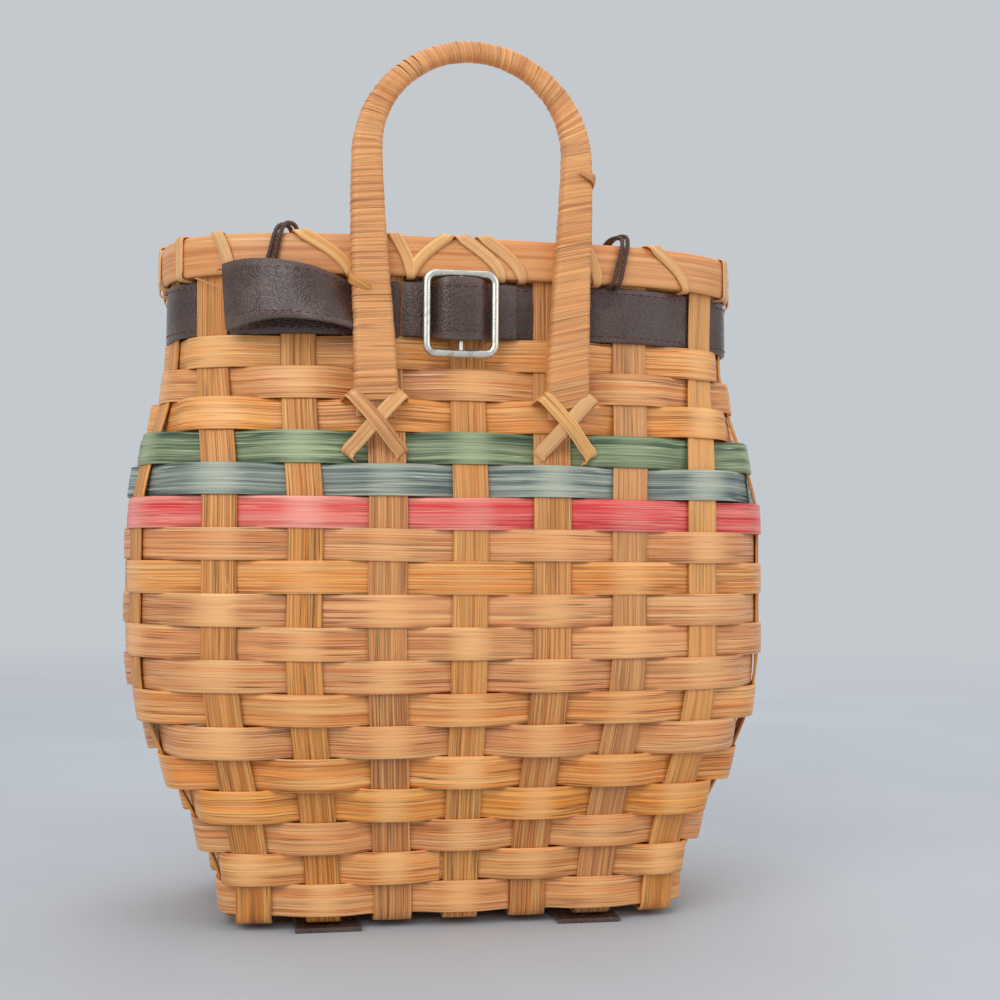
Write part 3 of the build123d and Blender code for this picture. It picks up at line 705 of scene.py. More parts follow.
def footBend(wallEnd, baseEnd):
    # round the foot of the wall into the base
    knee = Vector((wallEnd[0].x, wallEnd[0].y, stakes["floor"] + stakes["kneeRise"]))
    stations = []
    for k in range(1, stakes["bendSteps"]):
        t = k / stakes["bendSteps"]
        through = wallEnd[2].lerp(baseEnd[2], t).normalized()
        across = square(wallEnd[1].lerp(baseEnd[1], t), through)
        stations.append((bend(wallEnd[0], knee, baseEnd[0], t), across, through))
    return stations


def sameSide(stations, across):
    # the stations, turned round where they run the other way across the strip
    if stations[0][1].dot(across) < 0:
        return [(c, -a, t) for c, a, t in stations]
    return stations


def stakeStrip(name, u, other, width, crossings, along, seed, pale):
    # down one wall, under the base and up the other wall
    down = wallStations(u, seed)
    floor, up = [sameSide(run, down[0][1]) for run in
                 (baseStations(u, other, crossings, along), wallStations(other, seed + 7))]
    stations = (down + footBend(down[-1], floor[0]) + floor
                + footBend(up[-1], floor[-1])[::-1] + up[::-1])
    widths = [width + wandered(stakes["widen"], (seed, "w"), n) for n in range(len(stations))]

    def wear(n, u, v):
        # paler the higher it is
        return pale * min(1.0, 0.35 + 1.1 * stations[n][0].z / stakes["paleHeight"])

    makeStrip(name, "basket", "stake_splint", "stakeSplint", stations,
              lambda n: flatSection(widths[n], stakes["thickness"], stakes["crown"]),
              seed, wear=wear)


def makeStakes():
    fronts, sides = wall["frontCount"], wall["sideCount"]
    xs, ys = spread(fronts, wall["pitch"][0]), spread(sides, wall["sidePitch"][0], wall["middleY"])
    for k in range(fronts):
        crossings = [(y, 1 if (k + m) % 2 else -1) for m, y in enumerate(ys)]
        stakeStrip(f"stake_front_{k + 1}", k, 2 * fronts + sides - 1 - k,
                   stakes["frontWidths"][k], crossings, -toFront, 3.1 + k, stakes["frontPale"][k])
    for m in range(sides):
        crossings = [(x, -1 if (k + m) % 2 else 1) for k, x in enumerate(xs)]
        stakeStrip(f"stake_side_{m + 1}", fronts + m, around - 1 - m,
                   stakes["sideWidth"], crossings, toRight, 23.1 + m, stakes["sidePale"])


rim = dict(
    outerFace=(0.85, 5.3), innerFace=(0.85, 4.5), innerTop=317.0, scarfAt=12.3, scarf=0.9,
    stepsPerGap=10, cane=5.6, caneThick=0.7, caneCrown=0.35, caneGap=0.25, lean=20,
    edge=0.9, under=0.5,         # where the cane turns down inside, and how far below the hoop
    pulledIn=0.3, pulledOver=(4, 5),   # narrower by a share, from how high and over what height
    # gap between uprights: lean of its cane in degrees, and how far it is moved along, in mm
    leans={0: (18, -13), 1: (50, -8), 2: (22, -12), 3: (45, -15), 4: (20, -2), 5: (45, -3)},
    # more canes: where, lean, how far moved along, number of its own
    extra=((2.5, -41, 1.2, 88.4), (3.5, 44, -4.6, 87.1)),
    # a loose fibre that hangs from the rim's lashing across the first upright
    fibre=dict(z=304.5, begin=-0.22, span=0.5, off=3.6, bow=1.6, drop=7.5, droop=1.3,
               thick=0.34, taper=0.018, steps=12),
)


def hoopBand(name, top, face, way, seed):
    # a bent strip of wood with rounded edges, its ends scarfed over each other
    low, (near, far) = wall["hoopFoot"], face
    half, t, lap = (top - low) / 2, (far - near) / 2, rim["scarf"]
    section = circle(28, (0.62, 0.72), (half, t))
    steps = around * rim["stepsPerGap"]
    stations, scale = [], []
    for n in range(steps + 1):
        u = rim["scarfAt"] + (around + lap) * n / steps
        point, tangent, normal = wallSpot((low + top) / 2, u)
        # both ends taper, one under the other
        into = ease((rim["scarfAt"] + lap - u) / lap)
        past = ease((u - rim["scarfAt"] - around) / lap)
        shift = ((near + far) / 2 + (past - into) * t / 2) * way
        stations.append((point + normal * shift, toTop, normal))
        scale.append(1 - (into + past) / 2)
    makeStrip(name, "basket", "rim_hoop", "rimHoop", stations,
              lambda n: [(u, v * scale[n]) for u, v in section], seed,
              wear=onEdges(0.4, half - 4, 4), sharp=60)


def caneLoop(shape, u, lean, shift, seed):
    # round both hoops, over the top, in and out through the weave under them
    base, tangent, normal = wallSpot(wall["hoopFoot"], u)
    base = base + tangent * shift
    t = rim["caneThick"] / 2
    off = rim["caneGap"] + t
    out, into, edge = rim["outerFace"][1] + off, -rim["innerFace"][1] - off, -rim["edge"] - t
    low = wall["hoopFoot"] - rim["under"] - t
    high, ledge = wall["rimTop"] + off, rim["innerTop"] + off
    outline = [(out, low + (high - low) * k / 5) for k in range(6)]
    outline += [(edge, high), (edge, ledge), (into, ledge), (into, low)]
    slant = (high - low) * math.tan(math.radians(lean))
    points = []
    for n, z in outline:
        # the strip leaves the top slantwise and straightens as it goes down
        share = math.sin(math.pi / 2 * clamp((high - z) / (high - low)))
        points.append(base + normal * n + tangent * (slant * (share - 0.5)) + toTop * (z - base.z))
    path = resampled(rounded(points, 2.6, 4, closed=True), 1.0, closed=True)
    centre = sum(path, Vector()) / len(path)
    stations = []
    for p, along in onward(path, closed=True):
        flat = square(tangent, along)
        through = flat.cross(along).normalized()
        stations.append((p, flat, -through if through.dot(p - centre) < 0 else through))

    def section(n):
        # the strip narrows where it is pulled through the gap under the hoop
        place, over = rim["pulledOver"]
        pulled = rim["pulledIn"] * ease((wall["hoopFoot"] + place - path[n].z) / over)
        return flatSection(rim["cane"] * (1 - pulled), rim["caneThick"], rim["caneCrown"], 4)

    shape.sweep(stations, section, seed, closed=True, wear=onTop(0.35))


def makeRim():
    hoopBand("rim_outer_hoop", wall["rimTop"], rim["outerFace"], 1, 51.3)
    hoopBand("rim_inner_hoop", rim["innerTop"], rim["innerFace"], -1, 57.9)
    shape = Shape()
    for gap in range(around):
        atSide = gap % (around // 2) >= wall["frontCount"] - 1
        lean, shift = rim["leans"].get(gap, (0 if atSide else rim["lean"], 0))
        caneLoop(shape, gap + 0.5, lean, shift, 60 + gap * 0.7)
    for u, lean, shift, seed in rim["extra"]:
        caneLoop(shape, u, lean, shift, seed)
    look, stations = rim["fibre"], []
    for t in [k / look["steps"] for k in range(look["steps"] + 1)]:
        spot, tangent, normal = wallSpot(look["z"], look["begin"] + look["span"] * t)
        off = look["off"] + look["bow"] * math.sin(math.pi * t)
        drop = look["drop"] * t ** look["droop"]
        stations.append((spot + normal * off - toTop * drop, toTop, normal))
    shape.sweep(stations, lambda n: roundSection(look["thick"] - look["taper"] * n, 6), 89.6)
    shape.make("rim_lashing", "basket", "cane_lashing", "caneLashing")


handle = dict(
    radius=49.3, archZ=359.6, raised=1.15, rimY=-92.45, coreFoot=238.0, footX=44.5, footY=-97.3,
    top=6.9, side=12.1, foot=18.9,       # width over the arch, beside it and at the feet
    depth=7.6, pared=3.2, paredFrom=258.0, paredOver=16.0,
    coreCorner=(2.1, 0.2), wrapCorner=(2.7, 0.24),   # radius, and what it gains over the arch
    wrapFoot=244.4, strandThick=0.55, strandCrown=0.06, pitch=3.4, turnSteps=40, skin=0.5,
    strand=4.275, widest=6.6, tip=4.0, rub=0.25,
    slant=(0.02, 0.19),          # of a turn at the left foot, and how much less at the right one
    wander=dict(skin=(0.1, 1.6), slip=(0.45, 1.7), tip=(3.0, 1.3), strand=(1.125, 2.2)),
    rubAndSheenWander=(0.25, 23),
    # doubled-over ends of cane: how far along, and their rise; width, thickness and crown;
    # share of the width, share of the depth, and height above the hoop along each of them
    ends=((58.0, 8.0), (281.0, 6.0)), endStrip=(4.8, 0.7, 0.2),
    endPath=((0.2, 1.0, 1.2), (0.55, 1.08, 1.7), (0.95, 1.05, 1.7), (1.06, 0.3, 1.7),
             (1.0, -0.6, 1.2)),
)
legRun = handle["archZ"] - handle["coreFoot"]
handleRun = 2 * legRun + math.pi * handle["radius"]


def handleAt(d):
    # a distance along the hoop from its left foot: centre, across, width, along
    d = min(handleRun, max(0.0, d))
    mirror = d > handleRun / 2
    if mirror:
        d = handleRun - d
    if d < legRun:
        t, z = d / legRun, handle["coreFoot"] + d
        x = -handle["footX"] + (handle["footX"] - handle["radius"]) * ease(t)
        size = handle["foot"] + (handle["side"] - handle["foot"]) * t
        centre, across, along = Vector((x, handleY(z), z)), -toRight, toTop
    else:
        angle = math.pi - (d - legRun) / handle["radius"]
        rise = math.sin(angle)
        across, along = Vector((math.cos(angle), 0, rise)), Vector((rise, 0, -math.cos(angle)))
        size = handle["side"] + (handle["top"] - handle["side"]) * rise
        centre = (Vector((0, handle["rimY"], handle["archZ"]))
                  + across * (handle["radius"] + handle["raised"] * rise))
    if mirror:
        centre, across = [Vector((-v.x, v.y, v.z)) for v in (centre, across)]
        along = Vector((along.x, 0, -along.z))
    return centre, across, size, along


def handleDepth(z):
    # each leg is pared thinner towards its foot
    return handle["depth"] - handle["pared"] * ease((handle["paredFrom"] - z) / handle["paredOver"])


def handleY(z):
    t = clamp((wall["hoopFoot"] - z) / (wall["hoopFoot"] - handle["coreFoot"]))
    return (handle["rimY"] + (handle["footY"] - handle["rimY"]) * t
            + (handle["depth"] - handleDepth(z)) / 2)


def boxLoop(a, b, r, share):
    # a point and its normal on a rounded box of half sizes a and b, share 0 to 1 round it
    wide, tall, arc = 2 * (a - r), 2 * (b - r), math.pi / 2 * r
    d = (share % 1.0) * (2 * (wide + tall) + 4 * arc)
    for nx, ny in ((0, 1), (1, 0), (0, -1), (-1, 0)):
        length = wide if ny else tall
        if d <= length:
            return (nx * a + ny * (d - a + r), ny * b + nx * (b - r - d)), (nx, ny)
        d -= length
        if d <= arc:
            angle = math.atan2(ny, nx) - d / r
            c, s = math.cos(angle), math.sin(angle)
            return ((a - r) * (nx + ny) + c * r, (b - r) * (ny - nx) + s * r), (c, s)
        d -= arc
    return (r - a, b), (0, 1)


def hoopLoop(d, share, corner, skin=0.0):
    # a point and its normal on the hoop's surface, or so far above it
    centre, across, size, along = handleAt(d)
    radius, gain = corner
    radius += gain * (handle["side"] - min(size, handle["side"]))
    return boxLoop(size / 2 + skin, handleDepth(centre.z) / 2 + skin, radius, share)


def makeHandle():
    # the bent hoop of wood
    stations, sections, steps, sides = [], [], 120, 28
    for n in range(steps + 1):
        d = handleRun * n / steps
        stations.append((*handleAt(d)[:2], toFront))
        sections.append([hoopLoop(d, k / sides, handle["coreCorner"])[0] for k in range(sides)])
    makeStrip("handle_core", "basket", "handle_hoop", "handleHoop", stations,
              sections.__getitem__, 70.3, sharp=60)
    # one long strip of cane wound on from the left foot to the right one
    first = handle["wrapFoot"] - handle["coreFoot"]
    wound = handleRun - 2 * first
    turns = int(wound / handle["pitch"])
    stations, widths = [], []
    for n in range(turns * handle["turnSteps"] + 1):
        share = n / handle["turnSteps"]
        d = first + wound * share / turns
        skin, slip, tip, wider = [wandered(most, what, share)
                                  for what, most in handle["wander"].items()]
        (u, v), (nu, nv) = hoopLoop(d, -share, handle["wrapCorner"],
                                    handle["skin"] + handle["strandThick"] / 2 + skin)
        slant, less = handle["slant"]
        d += u * (slant - less * ease(d / handleRun)) + slip
        centre, across, size, along = handleAt(d)
        # each turn rides up on the one before
        flat, inward = tipped(along, -across * nu - toFront * nv, handle["tip"] + tip)
        stations.append((centre + across * u + toFront * v, flat, -inward))
        widths.append(min(handle["widest"], handle["strand"] + wider))
    rubbedAndSheen = [handle["rub"] + wandered(handle["rubAndSheenWander"], "rub", n) for n in range(len(widths))]
    wrap = Shape()
    wrap.sweep(stations, lambda n: flatSection(widths[n], handle["strandThick"],
                                               handle["strandCrown"], steps=4),
               71.9, wear=onTopEach(rubbedAndSheen))
    for foot, rise in handle["ends"]:
        # a doubled-over end of cane laid slantwise on the outer edge
        points = []
        for k, (u, v, lift) in enumerate(handle["endPath"]):
            centre, across, size, along = handleAt(foot + rise * k / 4)
            points.append(centre + across * (u * (size / 2 + lift))
                          + toFront * (v * (handle["depth"] / 2 + lift)))
        middle = handleAt(foot + rise / 2)[0]
        strip = []
        for p, along in onward(resampled(rounded(points, 3.0), 0.8)):
            outward = square((p - middle).normalized(), along)
            strip.append((p, outward.cross(along), outward))
        wrap.sweep(strip, flatSection(*handle["endStrip"], steps=4), 73 + foot)
    wrap.make("handle_wrap", "basket", "handle_cane", "handleCane")


cross = dict(
    halfWidth=12.8, halfHeight=15.2, z=236.6, strip=6.6, thick=0.8, crown=0.3,
    layer=0.95, offLeg=1.5, offWall=2.2, sunk=0.5,   # the second strip lies a layer higher
    # sideways share, height share, and how far up from the wall to the leg's face
    path=((-0.98, -0.7, -0.8), (-1.03, -0.76, 0.2), (-0.94, -0.86, 0.88), (-0.45, -0.42, 1.0),
          (0.1, 0.1, 1.0), (0.45, 0.45, 0.72), (0.72, 0.72, 0.32), (0.93, 0.9, 0.06),
          (1.0, 1.03, -0.2), (0.76, 1.14, -0.9)),
)


def makeCrosses():
    # two crossed strips of cane that tie each leg's foot to the wall
    for side, name in ((-1, "handle_lashing_left"), (1, "handle_lashing_right")):
        shape = Shape()
        for lean, layer in ((-1, 0.0), (1, cross["layer"])):
            reach, points = lean * cross["halfWidth"], []
            for t, h, rise in cross["path"]:
                z = cross["z"] - cross["halfHeight"] * h
                top = handleY(z) - handleDepth(z) / 2 - cross["offLeg"] - layer
                skin = wallSpot(z, 3 + side)[0].y - cross["offWall"] - layer * cross["sunk"]
                points.append(Vector((side * handle["footX"] + reach * t,
                                      skin + (top - skin) * rise, z)))
            level = Vector((cross["halfHeight"], 0, reach)).normalized()
            stations = []
            for p, along in onward(resampled(rounded(points, 3.2), 0.9)):
                flat = square(level, along)
                stations.append((p, flat, flat.cross(along) * lean))
            shape.sweep(stations, flatSection(cross["strip"], cross["thick"], cross["crown"]),
                        80.2 + side + lean * 0.3, wear=onTop(0.35))
        shape.make(name, "basket", "cane_lashing", "caneLashing")


leather = dict(
    beltWidth=26.6, beltThick=2.1, beltDrop=0.2, beltSwing=2.0, beltWave=1.25, stepsPerGap=20,
    sag=(0.25, 1.1),             # how far, and over how many uprights
    stitchInset=2.9, stitchPitch=4.1, stitchLong=2.9, stitchWide=0.55, firstStitch=3.0,
    # one stitch: place along it, thickness, height
    stitch=((-1, 0.3, -0.25), (-0.7, 0.9, 0.0), (0, 1, 0.08), (0.7, 0.9, 0.0), (1, 0.3, -0.25)),
    strapWidth=31.0, strapThick=2.3, gap=0.3,
)
beltMid = wall["beltFoot"] - leather["beltDrop"] + leather["beltWidth"] / 2


def stitches(shape, stations, edge, out, seed):
    # a row of thread stitches along each edge of a strip, out from its middle
    half, thread = leather["stitchLong"] / 2, roundSection(leather["stitchWide"] / 2, 6)
    sections = [[(u * size, v * size) for u, v in thread] for s, size, h in leather["stitch"]]
    for across in (-edge, edge):
        run, mark = 0.0, leather["firstStitch"]
        for (a, flatA, outA), (b, flatB, outB) in zip(stations, stations[1:]):
            length, along = (b - a).length, (b - a).normalized()
            while mark <= run + length:
                t = (mark - run) / max(1e-6, length)
                centre = a.lerp(b, t) + flatA.lerp(flatB, t) * across + outA.lerp(outB, t) * out
                line = [(centre + along * (s * half) + outA * h, flatA, outA)
                        for s, size, h in leather["stitch"]]
                shape.sweep(line, sections.__getitem__, seed, slot=1, start=mark)
                mark += leather["stitchPitch"]
            run += length


def edgeOf(width):
    return width / 2 - leather["stitchInset"]


def makeBelt():
    # woven through the uprights under the rim
    count, stations = around * leather["stepsPerGap"], []
    width, thick = leather["beltWidth"], leather["beltThick"]
    for n in range(count):
        u = around * n / count
        wave = waveAt(u, 1, leather["beltWave"])
        spot, tangent, normal = wallSpot(beltMid, u)
        stations.append((spot + normal * (wave * leather["beltSwing"])
                         + toTop * wandered(leather["sag"], "beltSag", u), toTop, normal))
    shape = Shape()
    shape.sweep(stations, leatherSection(width, thick), 90.1, closed=True,
                wear=onEdges(0.5, 11.0, 1.5))
    stitches(shape, stations, edgeOf(width), thick / 2 + 0.12, 91.0)
    shape.make("harness_belt", "basket", "harness_leather", "leather", "thread")


tail = dict(
    thick=1.9, crown=0.3, begin=0.27, span=1.9, steps=46, bulge=14.5, rise=6.6, drop=1.2,
    bowed=0.86, bowFrom=0.12, fullness=0.75, riseFrom=0.25, riseOver=1.1,   # shares of its length
    tip=(7.0, 26.0), tipUp=(0.4, 0.45), tipDown=(0.88, 0.12),   # degrees, then place and distance
    flare=0.22, flareSteps=20,
    # a loose end of thread at the cut corner
    loose=((1.5, -0.6, -1.4), (-0.4, -1.2, 0.4), (-2.6, -1.4, 0.6), (-3.4, -1.0, -1.6),
           (-2.4, -0.6, -3.6)), looseOut=2.2, looseThick=0.26,
)


def makeTail():
    # the belt's free end, bowed out in front of the second upright
    lie = stakes["thickness"] / 2 + leather["gap"] + tail["thick"] / 2
    points, ups = [], []
    for t in [n / tail["steps"] for n in range(tail["steps"] + 1)]:
        spot, tangent, normal = wallSpot(beltMid, tail["begin"] + tail["span"] * t)
        share = min(1.0, t / tail["bowed"])
        bow, (steady, most) = 0.0, tail["tip"]
        if share < 1:
            turn = math.pi * (tail["bowFrom"] + (1 - tail["bowFrom"]) * share)
            bow = math.sin(turn) ** tail["fullness"]
        turn = math.pi * min(1.0, (share + tail["riseFrom"]) / tail["riseOver"])
        rise = tail["rise"] * math.sin(turn) - tail["drop"]
        tipUp, tipDown = [ease((share - place) / over) for place, over in
                          (tail["tipUp"], tail["tipDown"])]
        tip = steady * bow + most * tipUp * (1 - tipDown)
        points.append(spot + normal * (lie + tail["bulge"] * bow) + toTop * rise)
        ups.append(tipped(toTop, -normal, tip)[0])
    stations = []
    for (p, along), up in zip(onward(points), ups):
        flat = square(up, along)
        through = along.cross(flat)
        stations.append((p, flat, -through if through.y > 0 else through))
    width, thick = leather["beltWidth"], tail["thick"]
    widths = [width * (1 + tail["flare"] * ease(1 - n / tail["flareSteps"]))
              for n in range(len(stations))]
    shape = Shape()
    shape.sweep(stations, lambda n: leatherSection(widths[n], thick, tail["crown"]), 92.4,
                wear=onEdges(0.5, 11.0, 1.5))
    stitches(shape, stations[2:-2], edgeOf(width), thick / 2 + 0.1, 93.0)
    corner = stations[0][0] + stations[0][1] * (edgeOf(width) + tail["looseOut"])
    line = resampled(rounded([corner + Vector(step) for step in tail["loose"]], 1.2, 4), 0.5)
    shape.sweep([(spot, toTop, toFront) for spot in line], roundSection(tail["looseThick"], 6),
                93.7, slot=1)
    shape.make("belt_tail", "basket", "harness_leather", "leather", "thread")


buckle = dict(x=-4.6, z=287.7, width=36.0, height=41.2, corner=6.0, wire=1.55, bar=1.2, back=7.0,
              wide=1.22, deep=0.95, barBack=0.1)
# the leather that runs under the frame's sides and over its bar
fold = dict(half=0.85, raised=2.0, flat=3.85, under=4.45, width=25.6, splay=4.2, splayOver=12.0,
            end=27.0, paredOver=4.0, pared=0.7, crown=0.15, stitched=10.4, lift=0.4,
            # how far from the bar's middle, and how far off its top or off the frame's back
            onBar=((0, 0.0), (6.5, -0.1), (9.6, -1.6)),
            underFrame=((11.8, 1.0), (14.6, 0.0), (20, 0.0)))


def makeBuckle():
    # a bent frame of wire and the bar across it
    y = neckFront - buckle["back"] - buckle["wire"]
    middle = Vector((buckle["x"], y, buckle["z"]))
    a, b = [buckle[size] / 2 - buckle["wire"] * buckle["wide"] for size in ("width", "height")]
    stations = []
    for k in range(280):
        (u, v), (nu, nv) = boxLoop(a, b, buckle["corner"] - buckle["wire"], k / 280)
        stations.append((middle + Vector((u, 0, v)), Vector((nu, 0, nv)), toFront))
    shape = Shape()
    shape.sweep(stations, [(u * buckle["wide"], v * buckle["deep"])
                           for u, v in roundSection(buckle["wire"], 16)], 94.0, closed=True)
    bar = [(middle + Vector((0, buckle["barBack"], z)), toRight, toFront)
           for z in np.linspace(-b, b, 9)]
    shape.sweep(bar, roundSection(buckle["bar"], 12), 94.5)
    shape.make("slide_buckle", "buckle", "buckle_metal", "metal", sharp=60)


def makeFold():
    half, flat, under = fold["half"], fold["flat"], fold["under"]
    over = buckle["back"] + 2 * buckle["wire"] + fold["lift"] + half
    side = [(x, over + off) for x, off in fold["onBar"]]
    side += [(x, under + off) for x, off in fold["underFrame"]] + [(fold["end"], flat)]
    outline = [(-x, out) for x, out in side[:0:-1]] + side
    points = [Vector((buckle["x"] + x, neckFront - out, buckle["z"] + fold["raised"]))
              for x, out in outline]
    stations = []
    for p, along in onward(resampled(rounded(points, 2.6), 1.0)):
        through = along.cross(toTop)
        stations.append((p, toTop, through if through.y < 0 else -through))

    def section(n):
        # splayed where it is bent over the bar, pared thin at its two ends
        off = abs(stations[n][0].x - buckle["x"])
        width = fold["width"] + fold["splay"] * math.exp(-(off / fold["splayOver"]) ** 4)
        thin = 1 - fold["pared"] + fold["pared"] * ease((fold["end"] - off) / fold["paredOver"])
        return [(u, v * thin) for u, v in leatherSection(width, 2 * half, fold["crown"])]

    shape = Shape()
    shape.sweep(stations, section, 95.2, wear=onEdges(0.6, 11.6, 1.4))
    stitches(shape, stations[8:-8], fold["stitched"], half + 0.15, 96.0)
    shape.make("belt_bight", "buckle", "harness_leather", "leather", "thread")


straps = dict(
    bow=34.0, top=39.7, foot=62.0, low=1.2, front=-72.0, round=22.0, offWall=3.05,
    onBelt=(23.5, 3),
    # height as a share of the belt's, and the share of the bow there
    line=((0.95, 0.39), (0.825, 0.82), (0.656, 1.0), (0.495, 1.0), (0.313, 0.79), (0.144, 0.6)),
    turn=((10.4, 16.9), (6.5, 7.1), (3.25, 2.8)),   # round the foot of the back wall
)


def makeStraps():
    # two straps from the belt, bowed out behind the back and on under the base
    belt, width, thick = wall["beltFoot"], leather["strapWidth"], leather["strapThick"]
    back = neckBack + straps["offWall"] + leather["gap"] + thick / 2
    line = [(back, belt + z) for z in straps["onBelt"]]
    for height, share in straps["line"]:
        z = belt * height
        line.append((wall["middleY"] + atHeight(z, wall["back"]) + straps["bow"] * share, z))
    foot = wall["middleY"] + wall["back"][0]
    line += [(foot + y, z) for y, z in straps["turn"]]
    line += [(foot, straps["low"]), (straps["front"], straps["low"])]
    for side, name in ((-1, "shoulder_strap_left"), (1, "shoulder_strap_right")):
        wide, narrow = straps["foot"], straps["top"]
        points = [Vector((side * (wide + (narrow - wide) * ease(z / belt)), y, z))
                  for y, z in line]
        stations = []
        for p, along in onward(resampled(rounded(points, straps["round"], 6), 3.0)):
            flat = square(toRight, along)
            stations.append((p, flat, flat.cross(along)))
        # the grain side looks away from the back and down under the base
        if stations[len(stations) // 3][2].y < 0:
            stations = [(c, f, -t) for c, f, t in stations]
        shape = Shape()
        shape.sweep(stations, leatherSection(width, thick), 97.0 + side,
                    wear=onEdges(0.5, 14.0, 1.5))
        stitches(shape, stations[1:-1], edgeOf(width), thick / 2 + 0.05, 98.0)
        shape.make(name, "basket", "strap_leather", "leather", "thread")


lid = dict(foot=318.2, outlineZ=318.0, inset=2.1, border=10.0, borderThick=1.6, mid=321.1,
           upper=322.4, splint=1.0, ribWidth=18.0, slatWidth=22.0, swing=0.6, ribs=5, slats=4,
           lap=5.0, trimOver=45.0, stepsPerGap=10, crossing=0.72, step=2.5,
           ribRoom=14, slatRoom=(4.4, 2.2))


def lidBorder(name, foot, seed):
    # a flat ring that follows the inside of the rim
    inset = lid["inset"] + lid["border"] / 2
    count, stations = around * lid["stepsPerGap"], []
    for n in range(count):
        spot, tangent, normal = wallSpot(lid["outlineZ"], around * n / count)
        spot.z = foot + lid["borderThick"] / 2
        stations.append((spot - normal * inset, normal, toTop))
    makeStrip(name, "lid", "lid_splint", "rimHoop", stations,
              flatSection(lid["border"], lid["borderThick"] - 0.05), seed,
              closed=True, wear=onEdges(0.4, 3.6, 1.4))


def lidReach(place, alongX):
    # where a straight splint at this place ends in the lid's border, at its far and near end
    x, y, run, marks = ringAt(lid["outlineZ"])

    def edge(half, aside, ahead):
        order = np.argsort(aside[half])
        return float(np.interp(place, aside[half][order], ahead[half][order]))

    if alongX:
        end = edge(x > 0, y, x) - lid["lap"]
        return end, -end
    behind, before = [edge(half, x, y) for half in (y > wall["middleY"], y < wall["middleY"])]
    return behind - lid["lap"], before + lid["lap"]


def lidSplints(name, places, crossPlaces, width, crossWidth, alongX, parity):
    # straight strips one way across the lid, over and under those the other way
    axis, side = (0, 1) if alongX else (1, 0)
    shape = Shape()
    for a, fixed in enumerate(places):
        ends = {off: lidReach(fixed + off, alongX)
                for off in np.linspace(-width / 2, width / 2, 9)}
        far, near = max(r[0] for r in ends.values()), min(r[1] for r in ends.values())
        crossings = [(place, 1 if (a + b + parity) % 2 else -1)
                     for b, place in enumerate(crossPlaces)]
        count, stations = int((far - near) / lid["step"]), []
        for n in range(count + 1):
            s = near + (far - near) * n / count
            z = lid["mid"] + lid["swing"] * overUnder(s, crossings, crossWidth * lid["crossing"])
            spot = Vector((s, fixed, z) if alongX else (fixed, s, z))
            stations.append((spot, -toFront if alongX else toRight, toTop))
        first = len(shape.verts)
        shape.sweep(stations, flatSection(width, lid["splint"], 0.05, steps=8),
                    102.0 + a * 1.3 + parity * 9, wear=onTop(0.25))
        # the ends are trimmed to the border's curve
        for vert in shape.verts[first:]:
            off = min(ends, key=lambda k: abs(k - (vert[side] - fixed)))
            for limit, edge, way in ((ends[off][0], far, 1), (ends[off][1], near, -1)):
                share = clamp((vert[axis] - edge) * way / lid["trimOver"] + 1)
                vert[axis] += (limit - edge) * share
    shape.make(name, "lid", "lid_splint", "lidSplint")


def makeLid():
    lidBorder("lid_border_lower", lid["foot"], 100.3)
    lidBorder("lid_border_upper", lid["upper"], 101.7)
    pitch = 2 * (wall["halfWidth"][2] - lid["inset"] - lid["ribRoom"]) / lid["ribs"]
    ribs = spread(lid["ribs"], pitch)
    low = neckFront + lid["inset"] + lid["border"] + lid["slatRoom"][0]
    high = neckBack - lid["inset"] - lid["border"] - lid["slatRoom"][1]
    slats = [low + (high - low) / lid["slats"] * (n + 0.5) for n in range(lid["slats"])]
    lidSplints("lid_slats", slats, ribs, lid["slatWidth"], lid["ribWidth"], True, 0)
    lidSplints("lid_ribs", ribs, slats, lid["ribWidth"], lid["slatWidth"], False, 1)


cords = dict(
    strand=0.68, strands=3, twist=6.5, step=0.6, crown=329.2, x=79.4, shift=-11.55, flare=3.0,
    out=7.3, into=-15.6, hoopIn=-5.9, below=303.6, lidBelow=316.7, lidTop=324.0,
    slip={-1: 2.0, 1: 4.5}, upright=315, flareOver=14, spread=0.72,
    turns=((-1.5, 0.0, 2.5), (1.5, 0.9, 2.1)),   # place along the rim, extra height, lean
)


def makeCord(side, name):
    # two turns of twisted cord round the rim and the lid's border
    spot, tangent, normal = wallSpot(wall["rimTop"],
                                     3 + (side * cords["x"] + cords["shift"]) / wall["pitch"][2])
    spot.z = 0
    out, into, hoopIn, below, lidBelow, lidTop = [
        cords[size] for size in ("out", "into", "hoopIn", "below", "lidBelow", "lidTop")]
    shape = Shape()
    for loop, (shift, higher, lean) in enumerate(cords["turns"]):
        crown = cords["crown"] + higher
        outline = [(out, below), (out, wall["rimTop"]), (out - 3.4, crown - 1.0),
                   ((out + into) / 2, crown), (into + 3.4, crown - 1.6), (into, lidTop),
                   (into, lidBelow), (hoopIn, lidBelow - 2), (hoopIn, below)]
        points = []
        for n, z in outline:
            aside = (cords["slip"][side] + shift + lean * (z - cords["upright"]) / 10
                     - side * cords["flare"] * ease((out - n) / cords["flareOver"]))
            points.append(spot + normal * n + toTop * z + tangent * aside)
        path = resampled(rounded(points, 4.2, 6, closed=True), cords["step"], closed=True)
        twist = 2 * math.pi * round(len(path) * cords["step"] / cords["twist"]) / len(path)
        for strand in [2 * math.pi * k / cords["strands"] for k in range(cords["strands"])]:
            stations = []
            for n, (p, along) in enumerate(onward(path, closed=True)):
                flat = square(tangent, along)
                through = flat.cross(along)
                angle = strand + twist * n
                offset = flat * math.cos(angle) + through * math.sin(angle)
                stations.append((p + offset * cords["strand"] * cords["spread"], flat, through))
            shape.sweep(stations, roundSection(cords["strand"], 8),
                        110 + side + loop * 0.4 + strand, closed=True)
    piece = shape.make(name, None, "waxed_cord", "cord", sharp=70)
    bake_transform(piece)


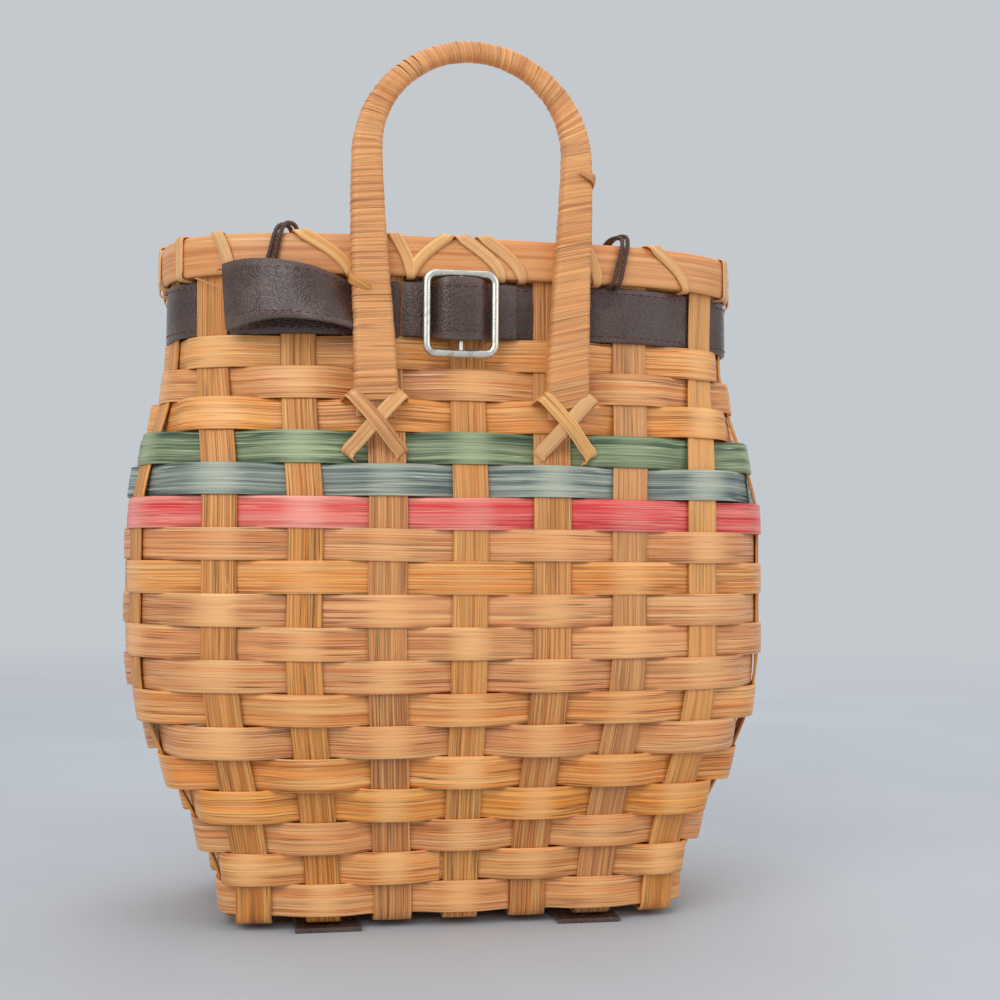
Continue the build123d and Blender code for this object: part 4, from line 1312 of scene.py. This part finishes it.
makeCord(-1, "hinge_cord_left")
makeCord(1, "hinge_cord_right")
print("cords ready")
makeWeave()
print("weave ready")
makeStakes()
print("uprights ready")
makeRim()
makeHandle()
makeCrosses()
print("rim and handle ready")
makeBelt()
makeTail()
makeBuckle()
makeFold()
makeStraps()
print("harness ready")
makeLid()
print("lid ready")


stage = dict(
    floor=(184, 189, 195), uneven=4, background=(196, 201, 206), fadeFrom=0.7, fadeTo=2.2,
    key=14.6, fill=7.4, top=8.0, world=0.62, tint=(0.95, 0.97, 1.0), aim=(0, 0, 0.2),
    rings=(0.4, 0.8, 1.2, 1.8, 2.6, 6.0, 30.0), spokes=48,   # metres
)


def makeFloor():
    f = Finish("paleFloor")
    spot = f.spot()
    nap = f.noise(spot, 900.0)
    colour = f.mix(f.between(f.noise(spot, 6.0, 3.0, 0.5), 0.3, 0.7), linear(*stage["floor"]),
                   linear(*[c + stage["uneven"] for c in stage["floor"]]))
    near = f.coat(colour, f.between(nap, 0.3, 0.7, 0.8, 0.9), f.bump(nap, 0.0002, 0.3))
    # far from the creel the floor runs into the background with no line between them
    far = f.add("ShaderNodeEmission", {}, {"Color": linear(*stage["background"])})
    away = f.add("ShaderNodeVectorMath", {"operation": "LENGTH"}, {0: spot}).part("Value")
    faded = f.between(away, stage["fadeFrom"], stage["fadeTo"])
    f.done(f.add("ShaderNodeMixShader", {}, {0: faded, 1: near, 2: far}))
    spokes, verts, faces = stage["spokes"], [(0.0, 0.0, 0.0)], []
    for r in stage["rings"]:
        verts += [(x, y, 0.0) for x, y in roundSection(r, spokes)]
    for k in range(spokes):
        m = (k + 1) % spokes
        faces.append((0, 1 + k, 1 + m))
        for n in range(len(stage["rings"]) - 1):
            a, b = 1 + n * spokes, 1 + (n + 1) * spokes
            faces.append((a + k, b + k, b + m, a + m))
    mesh = bpy.data.meshes.new("floor")
    mesh.from_pydata(verts, [], faces)
    mesh.materials.append(f.owner)
    floor = inScene("floor", mesh)


def makeLight():
    for name, place, size, power in (("keyLight", (-0.9, -1.4, 1.2), 1.2, stage["key"]),
                                     ("fillLight", (1.4, -1.1, 0.8), 1.6, stage["fill"]),
                                     ("backLight", (0.6, 1.6, 1.3), 1.6, stage["fill"]),
                                     ("topLight", (0.1, 0.1, 1.9), 1.8, stage["top"])):
        data = bpy.data.lights.new(name, "AREA")
        data.energy, data.size = power, size
        lamp = inScene(name, data)
        lamp.location = place
        lamp.rotation_mode = "QUATERNION"
        lamp.rotation_quaternion = (Vector(stage["aim"]) - Vector(place)).to_track_quat("-Z", "Y")
    world = bpy.data.worlds.new("studio")
    bpy.context.scene.world = world
    f = Finish("studio", world)
    path = f.add("ShaderNodeLightPath")
    seen = f.add("ShaderNodeMath", {"operation": "ADD", "use_clamp": True},
                 {0: path.part("Is Camera Ray"), 1: path.part("Is Glossy Ray")})
    light = f.add("ShaderNodeBackground", {}, {"Color": stage["tint"], "Strength": stage["world"]})
    plain = f.add("ShaderNodeBackground", {}, {"Color": linear(*stage["background"])})
    f.done(f.add("ShaderNodeMixShader", {}, {0: seen, 1: light, 2: plain}),
           "ShaderNodeOutputWorld")


makeFloor()
makeLight()
bpy.context.scene.view_settings.view_transform = "Standard"
print("floor and light ready")
